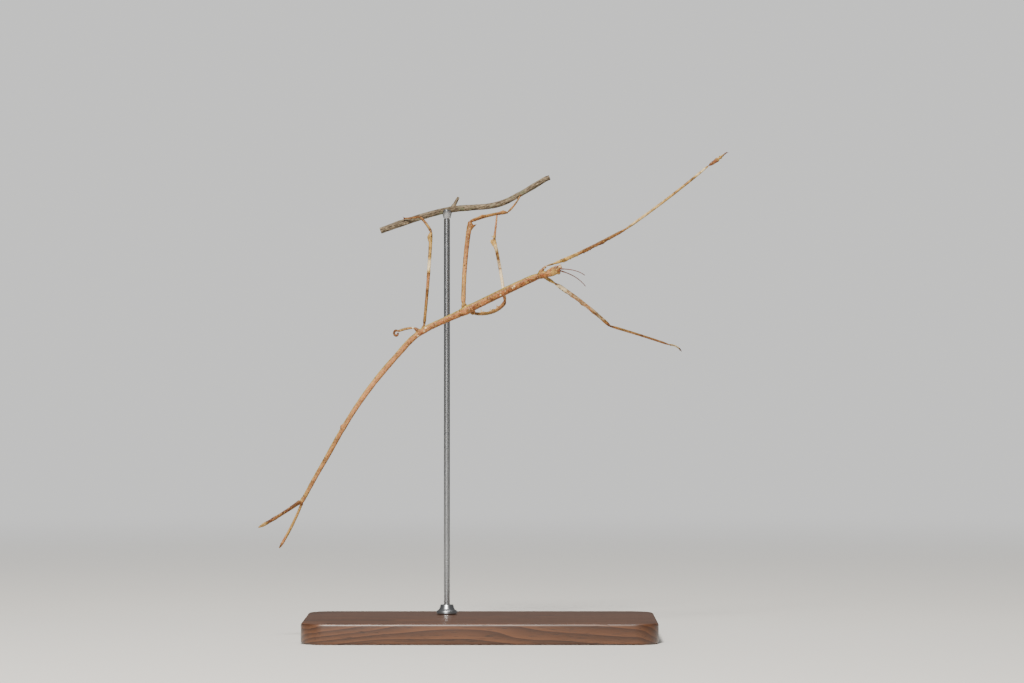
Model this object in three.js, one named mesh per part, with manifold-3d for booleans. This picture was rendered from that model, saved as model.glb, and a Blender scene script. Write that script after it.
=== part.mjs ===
// A slender stick insect hanging from a cut length of twig, on a plain display stand.
// Millimetres, +Z up. The origin is the middle of the base's underside. The insect's back
// faces -Y and its head is towards +X. A direction is a pair of angles: rise, turned from +X
// towards +Z, and away, turned out of that plane towards +Y.
import * as THREE from "three";
import { mergeVertices } from "three/addons/utils/BufferGeometryUtils.js";
import Module from "manifold-3d";

const wasm = await Module();
wasm.setup();

// ---- driving sizes -----------------------------------------------------------------------
const GAP = 0.3; // clearance between neighbouring pieces
const INSECT_Y = -20; // upright plane that holds the body's axis
const BROW = new THREE.Vector3(38.3, INSECT_Y, 178.4); // front of the head, on the axis
const BACK_ROLL = 35; // degrees that the back is rolled down from facing -Y
const BODY_SIDES = 12;
const LIMB_SIDES = 8;

// Body pieces from the brow back: length and fall of the axis, then the full width at the
// piece's front, middle and rear, and its height as a share of the width.
const BODY = [
  { name: "head", length: 6.8, fall: 23.7, widths: [3.9, 4.3, 3.3], height: 0.92, rings: 8 },
  { name: "prothorax", length: 4.3, fall: 13.5, widths: [3.5, 3.6, 3.4], height: 0.92, rings: 4 },
  { name: "mesothorax", length: 41.4, fall: 25.4, widths: [3.35, 3.8, 3.6], height: 0.95, rings: 10 },
  { name: "metathorax", length: 22.4, fall: 26.2, widths: [3.4, 3.05, 3.4], height: 0.95, rings: 6 },
  { name: "abdomen_2", length: 14.4, fall: 45.6, widths: [3.1, 2.95, 3.15], height: 0.9, rings: 4 },
  { name: "abdomen_3", length: 15.3, fall: 49.5, widths: [3.0, 2.95, 3.1], height: 0.9, rings: 4 },
  { name: "abdomen_4", length: 15.4, fall: 53.8, widths: [3.0, 2.7, 2.8], height: 0.9, rings: 4 },
  { name: "abdomen_5", length: 13.6, fall: 58.0, widths: [2.7, 2.5, 2.75], height: 0.9, rings: 10 },
  { name: "abdomen_6", length: 16.0, fall: 60.8, widths: [2.6, 2.45, 2.6], height: 0.9, rings: 4 },
  { name: "abdomen_7", length: 8.9, fall: 59.8, widths: [2.45, 2.2, 2.3], height: 0.92, rings: 5 },
  { name: "abdomen_8", length: 7.1, fall: 61.0, widths: [2.2, 2.2, 2.25], height: 0.92, rings: 5 },
  { name: "abdomen_9", length: 4.9, fall: 61.5, widths: [2.1, 2.1, 2.2], height: 0.95, rings: 4 },
  { name: "abdomen_10", length: 4.3, fall: 57.0, widths: [2.1, 2.2, 1.5], height: 0.9, rings: 5 },
];
// The pointed lobe on the left of the fifth abdominal piece, near its rear edge.
const SIDE_LOBE = { on: "abdomen_5", share: 0.93, spread: 0.07, turn: 90, breadth: 24, reach: 1.2 };

// Legs, each a chain of straight or bowed lengths that starts inside a body piece. "outer" is
// the direction of a leg's outer side, and a bow is the bend's height towards it. Thick is the
// thickness along outer and wide the one across it. Spurs are points on the outer (turn 0) or
// inner (turn 180) side.
const KNEE_SPUR = { share: 0.944, spread: 0.03, turn: 180, breadth: 40, reach: 1.1 };
const LEGS = [
  {
    name: "fore_left", from: "prothorax", share: 0.95, outer: [116, 0],
    coxa: {
      length: 6.4, rise: 51.6, away: 8.6, outer: [141.6, 0], bow: 0.5,
      thick: [2.5, 1.7], wide: [2.5, 1.8],
    },
    femur: {
      length: 45.2, rise: 25.1, away: 22.4, bow: -1.0, peak: 0.25,
      thick: [0.9, 1.9, 1.6], wide: [0.9, 1.5, 1.4],
    },
    tibia: {
      length: 53.2, rise: 37.5, away: 15.2, bow: -0.6,
      thick: [1.45, 1.35, 1.3], wide: [1.3, 1.2, 1.2],
    },
    tarsus: { length: 13.1, rise: 36.6, away: 10.8, bow: -0.2, wide: [1.4, 2.05, 0.8] },
    waist: 0.2, teeth: 7,
  },
  {
    name: "fore_right", from: "prothorax", share: 0.45, outer: [52, 0],
    coxa: { length: 2.82, rise: -43, away: 42, thick: [2.6, 2.0], wide: [2.6, 2.0] },
    femur: {
      length: 45.2, rise: -36.4, away: 31.4, bow: 1.05, root: 1.45,
      thick: [1.0, 2.15, 1.7], wide: [0.9, 1.5, 1.4],
    },
    tibia: {
      length: 52.4, rise: -16.7, away: 52.9, bow: 0.2,
      thick: [1.5, 1.3, 1.15], wide: [1.3, 1.2, 1.1],
    },
    tarsus: { length: 12.2, rise: -23.7, away: 52.2, bow: 0.7 },
    waist: 0.15, teeth: 7,
  },
  {
    name: "mid_left", from: "mesothorax", share: 0.93, outer: [176, 0],
    coxa: { length: 4.0, rise: 106.6, away: 13.9, thick: [2.7, 2.0], wide: [2.7, 2.0] },
    femur: { length: 40.1, rise: 85.4, away: 11.0, bow: 0.7, thick: [2.0, 1.9, 2.2], wide: [1.5, 1.5, 1.6] },
    tibia: {
      length: 33.1, rise: 16.0, away: 55.5, outer: [106, 0], bow: 0.7,
      thick: [1.9, 1.6, 1.7], wide: [1.4, 1.3, 1.3],
    },
    tarsus: { length: 12.8, rise: 53.8, away: 20.8, bow: -0.6 },
    waist: 0, teeth: 0, spurs: [KNEE_SPUR],
    shinSpurs: [
      { share: 0.33, spread: 0.04, turn: 0, breadth: 40, reach: 0.5 },
      { share: 0.89, spread: 0.04, turn: 0, breadth: 40, reach: 0.6 },
    ],
  },
  {
    name: "mid_right", from: "mesothorax", share: 0.88, outer: [-80, 0],
    coxa: { length: 4.0, rise: -46.3, away: 37.3, thick: [2.7, 2.0], wide: [2.7, 2.0] },
    femur: {
      length: 40.2, rise: 21.9, away: 66.6, bow: 2.4, peak: 0.64,
      thick: [1.6, 1.8, 2.3], wide: [1.5, 1.5, 1.8],
    },
    tibia: {
      length: 31.7, rise: 99.9, away: 10.1, outer: [9, 0], bow: 0.3, rings: 17,
      thick: [1.7, 1.6, 1.7], wide: [1.4, 1.3, 1.3],
    },
    tarsus: { length: 14.3, rise: 83.6, away: -8.2, bow: 0.2, wide: [1.35, 1.1] },
    waist: 0, teeth: 0,
    spurs: [
      { share: 0.222, spread: 0.022, turn: 180, breadth: 34, reach: 1.0 },
      { share: 0.5, spread: 0.022, turn: 180, breadth: 34, reach: 1.1 },
      { share: 0.722, spread: 0.022, turn: 180, breadth: 34, reach: 0.8 },
    ],
    shinSpurs: [{ share: 0.99, spread: 0.08, turn: 180, breadth: 36, reach: 1.9 }],
  },
  {
    name: "hind_right", from: "metathorax", share: 0.88, outer: [0, 0],
    coxa: { length: 4.7, rise: 82.9, away: 55.1, thick: [2.7, 2.0], wide: [2.7, 2.0] },
    femur: { length: 45.3, rise: 85.6, away: -4.9, bow: 0.3, thick: [1.5, 1.6, 1.8], wide: [1.4, 1.5, 1.6] },
    tibia: { length: 38.3, rise: 126.3, away: 74.4, bow: 0.5, thick: [1.6, 1.4, 1.4], wide: [1.4, 1.3, 1.2] },
    tarsus: { length: 9.6, rise: -175.4, away: 23.0, bow: 1.2 },
    waist: 0, teeth: 0, spurs: [KNEE_SPUR],
  },
];
const COXA_RINGS = 7;
const FEMUR_RINGS = 18;
const TIBIA_RINGS = 9;
const LEG_END = { span: 0.02, least: 0.7 }; // round ends of thighs and shins
const TARSUS = { rings: 11, wide: [1.2, 1.0], toes: 5, pinch: 0.16 };
const TEETH = { from: 0.05, span: 0.62, shape: { spread: 0.013, breadth: 36, reach: 0.5, turn: 180 } };

// The left hind leg is a small one, regrowing: a short thigh, and a shin rolled into a ring.
const SMALL_LEG = {
  name: "hind_left", from: "metathorax", share: 0.93,
  coxa: { length: 4.1, rise: 146.4, away: 0, thick: [2.5, 1.5], wide: [2.5, 1.5] },
  femur: {
    length: 8.0, rise: -167.1, away: 0, bow: 0.35,
    thick: [1.1, 1.3, 1.4], wide: [1, 1.1, 1.2], rings: 6,
  },
  ring: { radius: 1.02, tall: 1.36, thick: 1.15, start: 38, sweep: 338, drift: 1.5, rings: 14 },
};

const EYE = { radius: 0.95, share: 0.21, sideways: 1.65, above: 0.45, around: 9, down: 6 };
const MOUTH = {
  length: 1.5, wide: 2.1, tall: 1.7, below: 0.85, ahead: 0.35, droop: 0.5,
  sides: 10, rings: 5,
};
const FEELERS = [
  {
    name: "antenna_left", side: 0.35, length: 12.2, rise: -14.4, away: -6,
    arch: 1.05, peak: 0.62, thick: [0.7, 0.5],
  },
  {
    name: "antenna_right", side: -1.05, length: 13.8, rise: -31.6, away: 8,
    arch: 1.2, peak: 0.56, thick: [0.7, 0.5],
  },
];
const FEELER = { above: 1.25, sunk: 0.4, sides: 6, rings: 7 }; // roots above the head's axis
const CERCI = [
  {
    name: "cercus_left", side: 0.75, length: 23.6, rise: -148.2, away: -12, bow: -0.4,
    wide: [2.4, 1.5, 2.0],
  },
  {
    name: "cercus_right", side: -0.65, length: 25.2, rise: -117.1, away: 12, bow: -0.6,
    wide: [1.5, 1.6, 1.7],
  },
];
const CERCUS = { flatness: 0.7, sunk: 1.2, tip: 0.12, least: 0.3, sides: 8, rings: 9 };

// The twig runs behind the insect and over it, through these places, with its thickness there.
const TWIG = {
  places: [
    [-49, 22.6, 197.5], [-37.5, 22.6, 201.6], [-16.5, 22.4, 207.6],
    [8.5, 23.0, 210.4], [20.2, 23.2, 216.0], [33.5, 25.0, 224.0],
  ],
  thick: [3.3, 2.6], nodes: [0.16, 0.42, 0.68, 0.86], swell: 0.35, rings: 24, sides: 10,
};
const SHOOT = { at: 0.42, length: 7.5, rise: 62, away: 28, thick: [1.7, 1.4] };

const BASE = { length: 170, depth: 96, height: 10, corner: 12, bevel: 1.2 };
const ROD = { at: -16.5, radius: 1.5, foot: GAP };
const COLLAR = { outer: 5, top: 3.2, height: 4.5, chamfer: 0.9, rim: 1.6, drop: 0.6 };
const CRADLE = { radius: 2.7, height: 4.2, lip: 0.2, taper: 0.75 };
const TURNED_SIDES = 16;

// ---- finishes ----------------------------------------------------------------------------
const paint = (color, roughness, metalness = 0) =>
  new THREE.MeshStandardMaterial({ color, roughness, metalness });
const SKIN = paint(0xb98553, 0.62);
const PALE_SKIN = paint(0xd9b98a, 0.6);
const RED_SKIN = paint(0xa4542e, 0.55);
const EYE_SHINE = paint(0x6e5a3c, 0.25);
const BARK = paint(0x6b5a42, 0.85);
const WOOD = paint(0x4a3628, 0.45);
const STEEL = paint(0xb5b8ba, 0.3, 1);

// ---- geometry helpers --------------------------------------------------------------------
const vector = (x, y, z) => new THREE.Vector3(x, y, z);
const AWAY = vector(0, 1, 0);
const radians = THREE.MathUtils.degToRad;

function direction(rise, away = 0) {
  const flat = Math.cos(radians(away));
  return vector(flat * Math.cos(radians(rise)), Math.sin(radians(away)), flat * Math.sin(radians(rise)));
}

// A value that passes through two or three evenly spaced ones as share goes from 0 to 1.
function blend(values, share) {
  if (values.length === 2) return values[0] + (values[1] - values[0]) * share;
  const [first, middle, last] = values;
  const bend = 2 * (first + last - 2 * middle);
  return first + (last - first - bend) * share + bend * share * share;
}

// The back's direction where the body runs towards the tail.
function backOf(tailward) {
  const upright = vector(0, 1, 0).cross(tailward).normalize();
  return upright.multiplyScalar(-Math.sin(radians(BACK_ROLL)))
    .addScaledVector(AWAY, -Math.cos(radians(BACK_ROLL)));
}

// Centre and cross directions of a curve at a share of it, with top next to the wanted side.
function frameAt(curve, share, topOf) {
  const along = curve.getTangent(share).normalize();
  const top = topOf(along).clone();
  top.addScaledVector(along, -top.dot(along)).normalize();
  const side = vector(0, 0, 0).crossVectors(along, top);
  return { centre: curve.getPoint(share), along, top, side };
}

// A closed tube along a curve. half(share, turn) gives its half thickness to the side and to
// the top, at a share of its length and a turn in degrees from top towards side.
function loft(curve, topOf, sides, rings, half) {
  const geometry = new THREE.CylinderGeometry(1, 1, 1, sides, rings);
  const place = geometry.attributes.position;
  for (let i = 0; i < place.count; i += 1) {
    const corner = vector(0, 0, 0).fromBufferAttribute(place, i);
    const share = THREE.MathUtils.clamp(corner.y + 0.5, 0, 1);
    const turn = THREE.MathUtils.radToDeg(Math.atan2(corner.x, corner.z));
    const { centre, top, side } = frameAt(curve, share, topOf);
    const [across, above] = half(share, turn);
    centre.addScaledVector(side, corner.x * across).addScaledVector(top, corner.z * above);
    place.setXYZ(i, centre.x, centre.y, centre.z);
  }
  return welded(geometry);
}

function welded(geometry) {
  const bare = geometry.clone();
  bare.deleteAttribute("normal");
  bare.deleteAttribute("uv");
  return mergeVertices(bare, 1e-4);
}

// How much a spur or tooth adds to the radius at a share and turn.
function spurHeight(spurs, share, turn) {
  let height = 0;
  for (const spur of spurs) {
    const off = Math.abs(((turn - spur.turn + 540) % 360) - 180) / spur.breadth;
    const along = (share - spur.share) / spur.spread;
    height += spur.reach * Math.exp(-off * off - along * along);
  }
  return height;
}

// A round end: 1 well inside, falling to least at either end over the given share.
function rounding(share, span, least) {
  const inset = Math.min(share, 1 - share) / span;
  if (inset >= 1) return 1;
  return least + (1 - least) * Math.sqrt(1 - (1 - inset) * (1 - inset));
}

function solid(geometry) {
  const source = welded(geometry);
  return new wasm.Manifold(new wasm.Mesh({
    numProp: 3,
    vertProperties: new Float32Array(source.attributes.position.array),
    triVerts: new Uint32Array(source.index.array),
  }));
}

// The geometry with the cutters taken out of it.
function carve(geometry, cutters) {
  let body = solid(geometry);
  for (const cutter of cutters) body = body.subtract(solid(cutter));
  const mesh = body.getMesh();
  const result = new THREE.BufferGeometry();
  result.setAttribute("position", new THREE.BufferAttribute(mesh.vertProperties, 3));
  result.setIndex(new THREE.BufferAttribute(mesh.triVerts, 1));
  return result;
}

function named(name, geometry, material) {
  const mesh = new THREE.Mesh(geometry, material);
  mesh.name = name;
  return mesh;
}

// ---- body --------------------------------------------------------------------------------
// Joints of the body's axis, from the brow to the tail.
const joints = [BROW];
for (const piece of BODY) {
  const step = direction(180 + piece.fall).multiplyScalar(piece.length);
  joints.push(joints[joints.length - 1].clone().add(step));
}
const spine = new THREE.CatmullRomCurve3(joints, false, "centripetal");

// The stretch of the spine that one body piece takes up, clear of its neighbours.
class Stretch extends THREE.Curve {
  constructor(index, inset) {
    super();
    this.index = index;
    this.inset = inset / BODY[index].length;
  }

  spot(share) {
    return (this.index + this.inset + share * (1 - 2 * this.inset)) / BODY.length;
  }

  // Past either end of the body the axis runs on straight.
  getPoint(share) {
    const spot = this.spot(share);
    const inside = THREE.MathUtils.clamp(spot, 0, 1);
    const past = (spot - inside) * BODY.length * BODY[this.index].length;
    return spine.getPoint(inside).addScaledVector(spine.getTangent(inside), past);
  }

  getTangent(share) {
    return spine.getTangent(THREE.MathUtils.clamp(this.spot(share), 0, 1));
  }
}

const indexOf = (name) => BODY.findIndex((piece) => piece.name === name);
const bodySpot = (name, share) => {
  const index = indexOf(name);
  return joints[index].clone().lerp(joints[index + 1], share);
};
const headFrame = (share) => frameAt(spine, share / BODY.length, backOf);

// A body piece's geometry, grown by a margin when it is used as a cutter.
function bodyPiece(piece, margin = 0) {
  const lobes = piece.name === SIDE_LOBE.on ? [SIDE_LOBE] : [];
  const endSpan = Math.min(0.4, 0.8 / piece.length);
  const half = (share, turn) => {
    const radius = (blend(piece.widths, share) / 2) * rounding(share, endSpan, 0.86);
    const lobe = spurHeight(lobes, share, turn);
    return [radius + lobe + margin, radius * piece.height + lobe + margin];
  };
  const curve = new Stretch(indexOf(piece.name), GAP / 2 - margin);
  return loft(curve, backOf, BODY_SIDES, piece.rings, half);
}

// The head is widest at the eyes and rounded at the brow.
function headPiece(margin = 0) {
  const piece = BODY[0];
  const half = (share, turn) => {
    const brow = Math.min(1, 0.78 + 1.5 * share);
    const radius = (blend(piece.widths, share) / 2) * brow;
    const crown = Math.abs(turn) < 90 ? 0.9 : 1.02;
    return [radius + margin, radius * piece.height * crown + margin];
  };
  return loft(new Stretch(0, GAP / 2 - margin), backOf, BODY_SIDES, piece.rings, half);
}

function eyeCentre(side) {
  const frame = headFrame(EYE.share);
  return frame.centre.addScaledVector(frame.side, side * EYE.sideways).addScaledVector(frame.top, EYE.above);
}

function eyeBall(side, margin = 0) {
  const ball = new THREE.SphereGeometry(EYE.radius + margin, EYE.around, EYE.down);
  const centre = eyeCentre(side);
  return ball.translate(centre.x, centre.y, centre.z);
}

function mouthPiece() {
  const frame = headFrame(0);
  const forward = frame.along.clone().negate();
  const start = frame.centre.clone()
    .addScaledVector(frame.top, -MOUTH.below)
    .addScaledVector(forward, GAP - MOUTH.ahead);
  const end = start.clone()
    .addScaledVector(forward, MOUTH.length)
    .addScaledVector(frame.top, -MOUTH.droop);
  const half = (share) => {
    const round = rounding(Math.max(share, 0.5), 0.6, 0.3);
    return [(MOUTH.wide / 2) * round, (MOUTH.tall / 2) * round];
  };
  const axis = new THREE.LineCurve3(start, end);
  const piece = loft(axis, () => frame.top, MOUTH.sides, MOUTH.rings, half);
  return carve(piece, [headPiece(GAP)]);
}

const insect = new THREE.Group();
const cutHead = carve(headPiece(), [eyeBall(1, GAP), eyeBall(-1, GAP)]);
insect.add(named("head", cutHead, SKIN));
insect.add(named("eye_left", eyeBall(1), EYE_SHINE));
insect.add(named("eye_right", eyeBall(-1), EYE_SHINE));
insect.add(named("mouthparts", mouthPiece(), PALE_SKIN));
for (const piece of BODY.slice(1)) insect.add(named(piece.name, bodyPiece(piece), SKIN));

// A curve from start to end, bowed towards outer, with the bend's top at the peak's share.
function bowed(start, end, outer, bow, peak = 0.5) {
  const middle = start.clone().lerp(end, peak).addScaledVector(outer, 2 * bow);
  return new THREE.QuadraticBezierCurve3(start, middle, end);
}

for (const feeler of FEELERS) {
  const frame = headFrame(0);
  const way = direction(feeler.rise, feeler.away);
  const root = frame.centre.clone()
    .addScaledVector(frame.side, feeler.side)
    .addScaledVector(frame.top, FEELER.above);
  const start = root.clone().addScaledVector(way, -FEELER.sunk);
  const end = root.clone().addScaledVector(way, feeler.length);
  const upward = direction(feeler.rise + 90);
  const half = (share) => {
    const radius = blend(feeler.thick, share) / 2;
    return [radius, radius];
  };
  const curve = bowed(start, end, upward, feeler.arch, feeler.peak);
  const tube = loft(curve, () => upward, FEELER.sides, FEELER.rings, half);
  insect.add(named(feeler.name, carve(tube, [headPiece(GAP)]), RED_SKIN));
}

for (const cercus of CERCI) {
  const last = BODY[BODY.length - 1];
  const frame = frameAt(spine, 1, backOf);
  const way = direction(cercus.rise, cercus.away);
  const start = frame.centre.clone()
    .addScaledVector(frame.side, cercus.side)
    .addScaledVector(frame.along, -CERCUS.sunk);
  const end = start.clone().addScaledVector(way, cercus.length);
  const half = (share) => {
    const point = Math.min(1, (1 - share) / CERCUS.tip + 0.15);
    const radius = Math.max(CERCUS.least, (blend(cercus.wide, share) / 2) * point);
    return [radius, Math.max(CERCUS.least, radius * CERCUS.flatness)];
  };
  const outward = direction(cercus.rise - 90);
  const curve = bowed(start, end, outward, cercus.bow);
  const blade = loft(curve, backOf, CERCUS.sides, CERCUS.rings, half);
  insect.add(named(cercus.name, carve(blade, [bodyPiece(last, GAP)]), SKIN));
}

// ---- legs --------------------------------------------------------------------------------
// One length of a leg from start. shape(margin) is its geometry, grown by a margin when it is
// used as a cutter, and half(share, turn) its half thickness across and along outer.
function legLength(start, part, legOuter, rings, half) {
  const outer = part.outer ? direction(...part.outer) : legOuter;
  const way = direction(part.rise, part.away);
  const end = start.clone().addScaledVector(way, part.length);
  const shape = (margin = 0) => {
    const inset = GAP / 2 - margin;
    const from = start.clone().addScaledVector(way, inset);
    const to = end.clone().addScaledVector(way, -inset);
    const grown = (share, turn) => half(share, turn).map((size) => size + margin);
    const curve = bowed(from, to, outer, part.bow ?? 0, part.peak);
    return loft(curve, () => outer, LIMB_SIDES, rings, grown);
  };
  return { end, shape };
}

// The body pieces, grown by the gap, that a coxa is cut by.
function cuttersFor(name) {
  const index = indexOf(name);
  const near = [index - 1, index, index + 1].filter((i) => i > 0);
  const grown = near.map((i) => bodyPiece(BODY[i], GAP));
  if (index === 1) grown.push(headPiece(GAP));
  return grown;
}

// A coxa starts inside the body, narrows outwards and has a round end.
function coxaHalf(part) {
  return (share) => {
    const round = rounding(Math.max(share, 0.5), 0.35, 0.55);
    return [(blend(part.wide, share) / 2) * round, (blend(part.thick, share) / 2) * round];
  };
}

// From the root's size down to the narrow one at the waist, then widening quickly beyond it.
function waisted([narrow, after, end], waist, share, root = narrow) {
  const filled = THREE.MathUtils.smoothstep(share, waist * 0.7, waist * 1.3);
  const slim = THREE.MathUtils.lerp(root, narrow, Math.min(1, share / waist));
  return slim + (blend([after, end], share) - slim) * filled;
}

// A thigh, with its waist, teeth and spurs.
function thighHalf(leg) {
  const spurs = [...(leg.spurs ?? [])];
  for (let i = 0; i < leg.teeth; i += 1) {
    const share = leg.waist + TEETH.from + (i * TEETH.span) / leg.teeth;
    spurs.push({ ...TEETH.shape, share });
  }
  const part = leg.femur;
  return (share, turn) => {
    const round = rounding(share, LEG_END.span, LEG_END.least);
    const spur = spurHeight(spurs, share, turn);
    const full = (sizes) =>
      (leg.waist ? waisted(sizes, leg.waist, share, part.root) : blend(sizes, share)) / 2;
    return [full(part.wide) * round + spur, full(part.thick) * round + spur];
  };
}

function shinHalf(part, spurs = []) {
  return (share, turn) => {
    const round = rounding(share, LEG_END.span, LEG_END.least);
    const spur = spurHeight(spurs, share, turn);
    return [(blend(part.wide, share) / 2) * round + spur, (blend(part.thick, share) / 2) * round + spur];
  };
}

// A foot: a long first piece and shorter ones after it, pinched where they meet.
function footHalf({ wide }) {
  return (share) => {
    const turns = TARSUS.toes * (1 - Math.sqrt(1 - share));
    const pinch = 1 - TARSUS.pinch * (1 + Math.cos(2 * Math.PI * turns)) / 2;
    const radius = (blend(wide ?? TARSUS.wide, share) / 2) * pinch * rounding(share, 0.05, 0.6);
    return [radius, radius];
  };
}

function hip(leg) {
  const start = bodySpot(leg.from, leg.share);
  const coxa = legLength(start, leg.coxa, AWAY, COXA_RINGS, coxaHalf(leg.coxa));
  const cutters = cuttersFor(leg.from);
  insect.add(named(`${leg.name}_coxa`, carve(coxa.shape(), cutters), RED_SKIN));
  return { coxa, cutters };
}

for (const leg of LEGS) {
  const outer = direction(...leg.outer);
  const { coxa, cutters } = hip(leg);
  const femur = legLength(coxa.end, leg.femur, outer, FEMUR_RINGS, thighHalf(leg));
  const thigh = carve(femur.shape(), [coxa.shape(GAP), ...cutters]);
  insect.add(named(`${leg.name}_femur`, thigh, SKIN));
  const shinRings = leg.tibia.rings ?? TIBIA_RINGS;
  const tibia = legLength(femur.end, leg.tibia, outer, shinRings, shinHalf(leg.tibia, leg.shinSpurs));
  insect.add(named(`${leg.name}_tibia`, carve(tibia.shape(), [femur.shape(GAP)]), PALE_SKIN));
  const tarsus = legLength(tibia.end, leg.tarsus, outer, TARSUS.rings, footHalf(leg.tarsus));
  insect.add(named(`${leg.name}_tarsus`, carve(tarsus.shape(), [tibia.shape(GAP)]), RED_SKIN));
}

// The small leg's shin, rolled up in the plane of the body with a slight drift towards +Y.
class RolledShin extends THREE.Curve {
  constructor(start, ring) {
    super();
    this.ring = ring;
    const out = direction(ring.start).multiplyScalar(ring.radius);
    this.centre = start.clone().sub(vector(out.x, 0, out.z * ring.tall));
  }

  getPoint(share) {
    const { radius, tall, start, sweep, drift } = this.ring;
    const round = direction(start + sweep * share).multiplyScalar(radius * (1 - 0.1 * share));
    round.z *= tall;
    return this.centre.clone().add(round).addScaledVector(AWAY, drift * share);
  }
}

function smallLeg() {
  const { name, femur, ring } = SMALL_LEG;
  const { coxa, cutters } = hip(SMALL_LEG);
  const outer = direction(femur.rise - 90);
  const thigh = legLength(coxa.end, femur, outer, femur.rings, shinHalf(femur));
  const thighShape = carve(thigh.shape(), [coxa.shape(GAP), ...cutters]);
  insect.add(named(`${name}_femur`, thighShape, SKIN));
  const half = (share) => {
    const radius = (ring.thick / 2) * rounding(share, 0.08, 0.6);
    return [radius, radius];
  };
  const rolled = loft(new RolledShin(thigh.end, ring), () => AWAY, LIMB_SIDES, ring.rings, half);
  insect.add(named(`${name}_tibia`, carve(rolled, [thigh.shape(GAP)]), RED_SKIN));
}
smallLeg();

// ---- perch -------------------------------------------------------------------------------
const twigCurve = new THREE.CatmullRomCurve3(TWIG.places.map((place) => vector(...place)));
const UP = vector(0, 0, 1);

function twigPiece(margin = 0) {
  const half = (share) => {
    let radius = blend(TWIG.thick, share) / 2;
    for (const node of TWIG.nodes) radius += (TWIG.swell / 2) * Math.exp(-(((share - node) / 0.02) ** 2));
    radius *= rounding(share, 0.006, 0.85);
    return [radius + margin, radius + margin];
  };
  return loft(twigCurve, () => UP, TWIG.sides, TWIG.rings, half);
}

function shootPiece() {
  const start = twigCurve.getPoint(SHOOT.at);
  const end = start.clone().addScaledVector(direction(SHOOT.rise, SHOOT.away), SHOOT.length);
  const half = (share) => {
    const radius = (blend(SHOOT.thick, share) / 2) * rounding(Math.max(share, 0.5), 0.05, 0.85);
    return [radius, radius];
  };
  const shoot = loft(new THREE.LineCurve3(start, end), () => UP, LIMB_SIDES, 5, half);
  return carve(shoot, [twigPiece(GAP)]);
}

const perch = new THREE.Group();
perch.add(named("perch_twig", twigPiece(), BARK));
perch.add(named("perch_shoot", shootPiece(), BARK));

// ---- stand -------------------------------------------------------------------------------
function basePiece() {
  const { length, depth, height, corner, bevel } = BASE;
  const x = length / 2 - bevel;
  const y = depth / 2 - bevel;
  const outline = new THREE.Shape();
  const turn = corner - bevel;
  outline.moveTo(-x + turn, -y);
  outline.lineTo(x - turn, -y);
  outline.absarc(x - turn, -y + turn, turn, -Math.PI / 2, 0);
  outline.lineTo(x, y - turn);
  outline.absarc(x - turn, y - turn, turn, 0, Math.PI / 2);
  outline.lineTo(-x + turn, y);
  outline.absarc(-x + turn, y - turn, turn, Math.PI / 2, Math.PI);
  outline.lineTo(-x, -y + turn);
  outline.absarc(-x + turn, -y + turn, turn, Math.PI, 1.5 * Math.PI);
  return new THREE.ExtrudeGeometry(outline, {
    depth: height - 2 * bevel,
    bevelThickness: bevel,
    bevelSize: bevel,
    bevelSegments: 2,
    curveSegments: 4,
  });
}

// The twig's centre straight over the rod.
function overRod() {
  let best = twigCurve.getPoint(0);
  for (let i = 1; i <= 400; i += 1) {
    const spot = twigCurve.getPoint(i / 400);
    if (Math.abs(spot.x - ROD.at) < Math.abs(best.x - ROD.at)) best = spot;
  }
  return best;
}
const rodTop = overRod();
const cradleFoot = rodTop.z + CRADLE.lip - CRADLE.height;

const stand = new THREE.Group();
const base = named("stand_base", basePiece(), WOOD);
base.position.z = BASE.bevel;
stand.add(base);

const rodLength = cradleFoot - GAP - (BASE.height + ROD.foot);
const rodShape = new THREE.CylinderGeometry(ROD.radius, ROD.radius, rodLength, TURNED_SIDES);
const rod = named("stand_rod", rodShape, STEEL);
rod.rotation.x = Math.PI / 2;
rod.position.set(rodTop.x, rodTop.y, BASE.height + ROD.foot + rodLength / 2);
stand.add(rod);

const bore = ROD.radius + GAP;
const collarProfile = [
  [bore, 0], [COLLAR.outer, 0], [COLLAR.outer, COLLAR.rim],
  [COLLAR.top + COLLAR.chamfer, COLLAR.height - COLLAR.drop],
  [COLLAR.top, COLLAR.height], [bore, COLLAR.height], [bore, 0],
];
const collarPoints = collarProfile.map(([x, y]) => new THREE.Vector2(x, y));
const collarShape = new THREE.LatheGeometry(collarPoints, TURNED_SIDES);
const collar = named("stand_collar", collarShape, STEEL);
collar.rotation.x = Math.PI / 2;
collar.position.set(rodTop.x, rodTop.y, BASE.height + GAP);
stand.add(collar);

const { radius: cradleTop, taper, height: cradleHeight } = CRADLE;
const cradleBlank = new THREE.CylinderGeometry(cradleTop, cradleTop * taper, cradleHeight, TURNED_SIDES);
cradleBlank.rotateX(Math.PI / 2);
cradleBlank.translate(rodTop.x, rodTop.y, cradleFoot + cradleHeight / 2);
stand.add(named("stand_cradle", carve(cradleBlank, [twigPiece(GAP)]), STEEL));

const model = new THREE.Group();
model.add(insect, perch, stand);
export default model;
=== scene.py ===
"""A life-size stick insect that hangs from a cut twig, on a plain display stand.

Shapes are modelled in millimetres and brought to metres when a piece is finished.
"""

import itertools
import math

import bmesh
import bpy
from mathutils import Color, Matrix, Vector, noise
from mathutils.bvhtree import BVHTree


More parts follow.
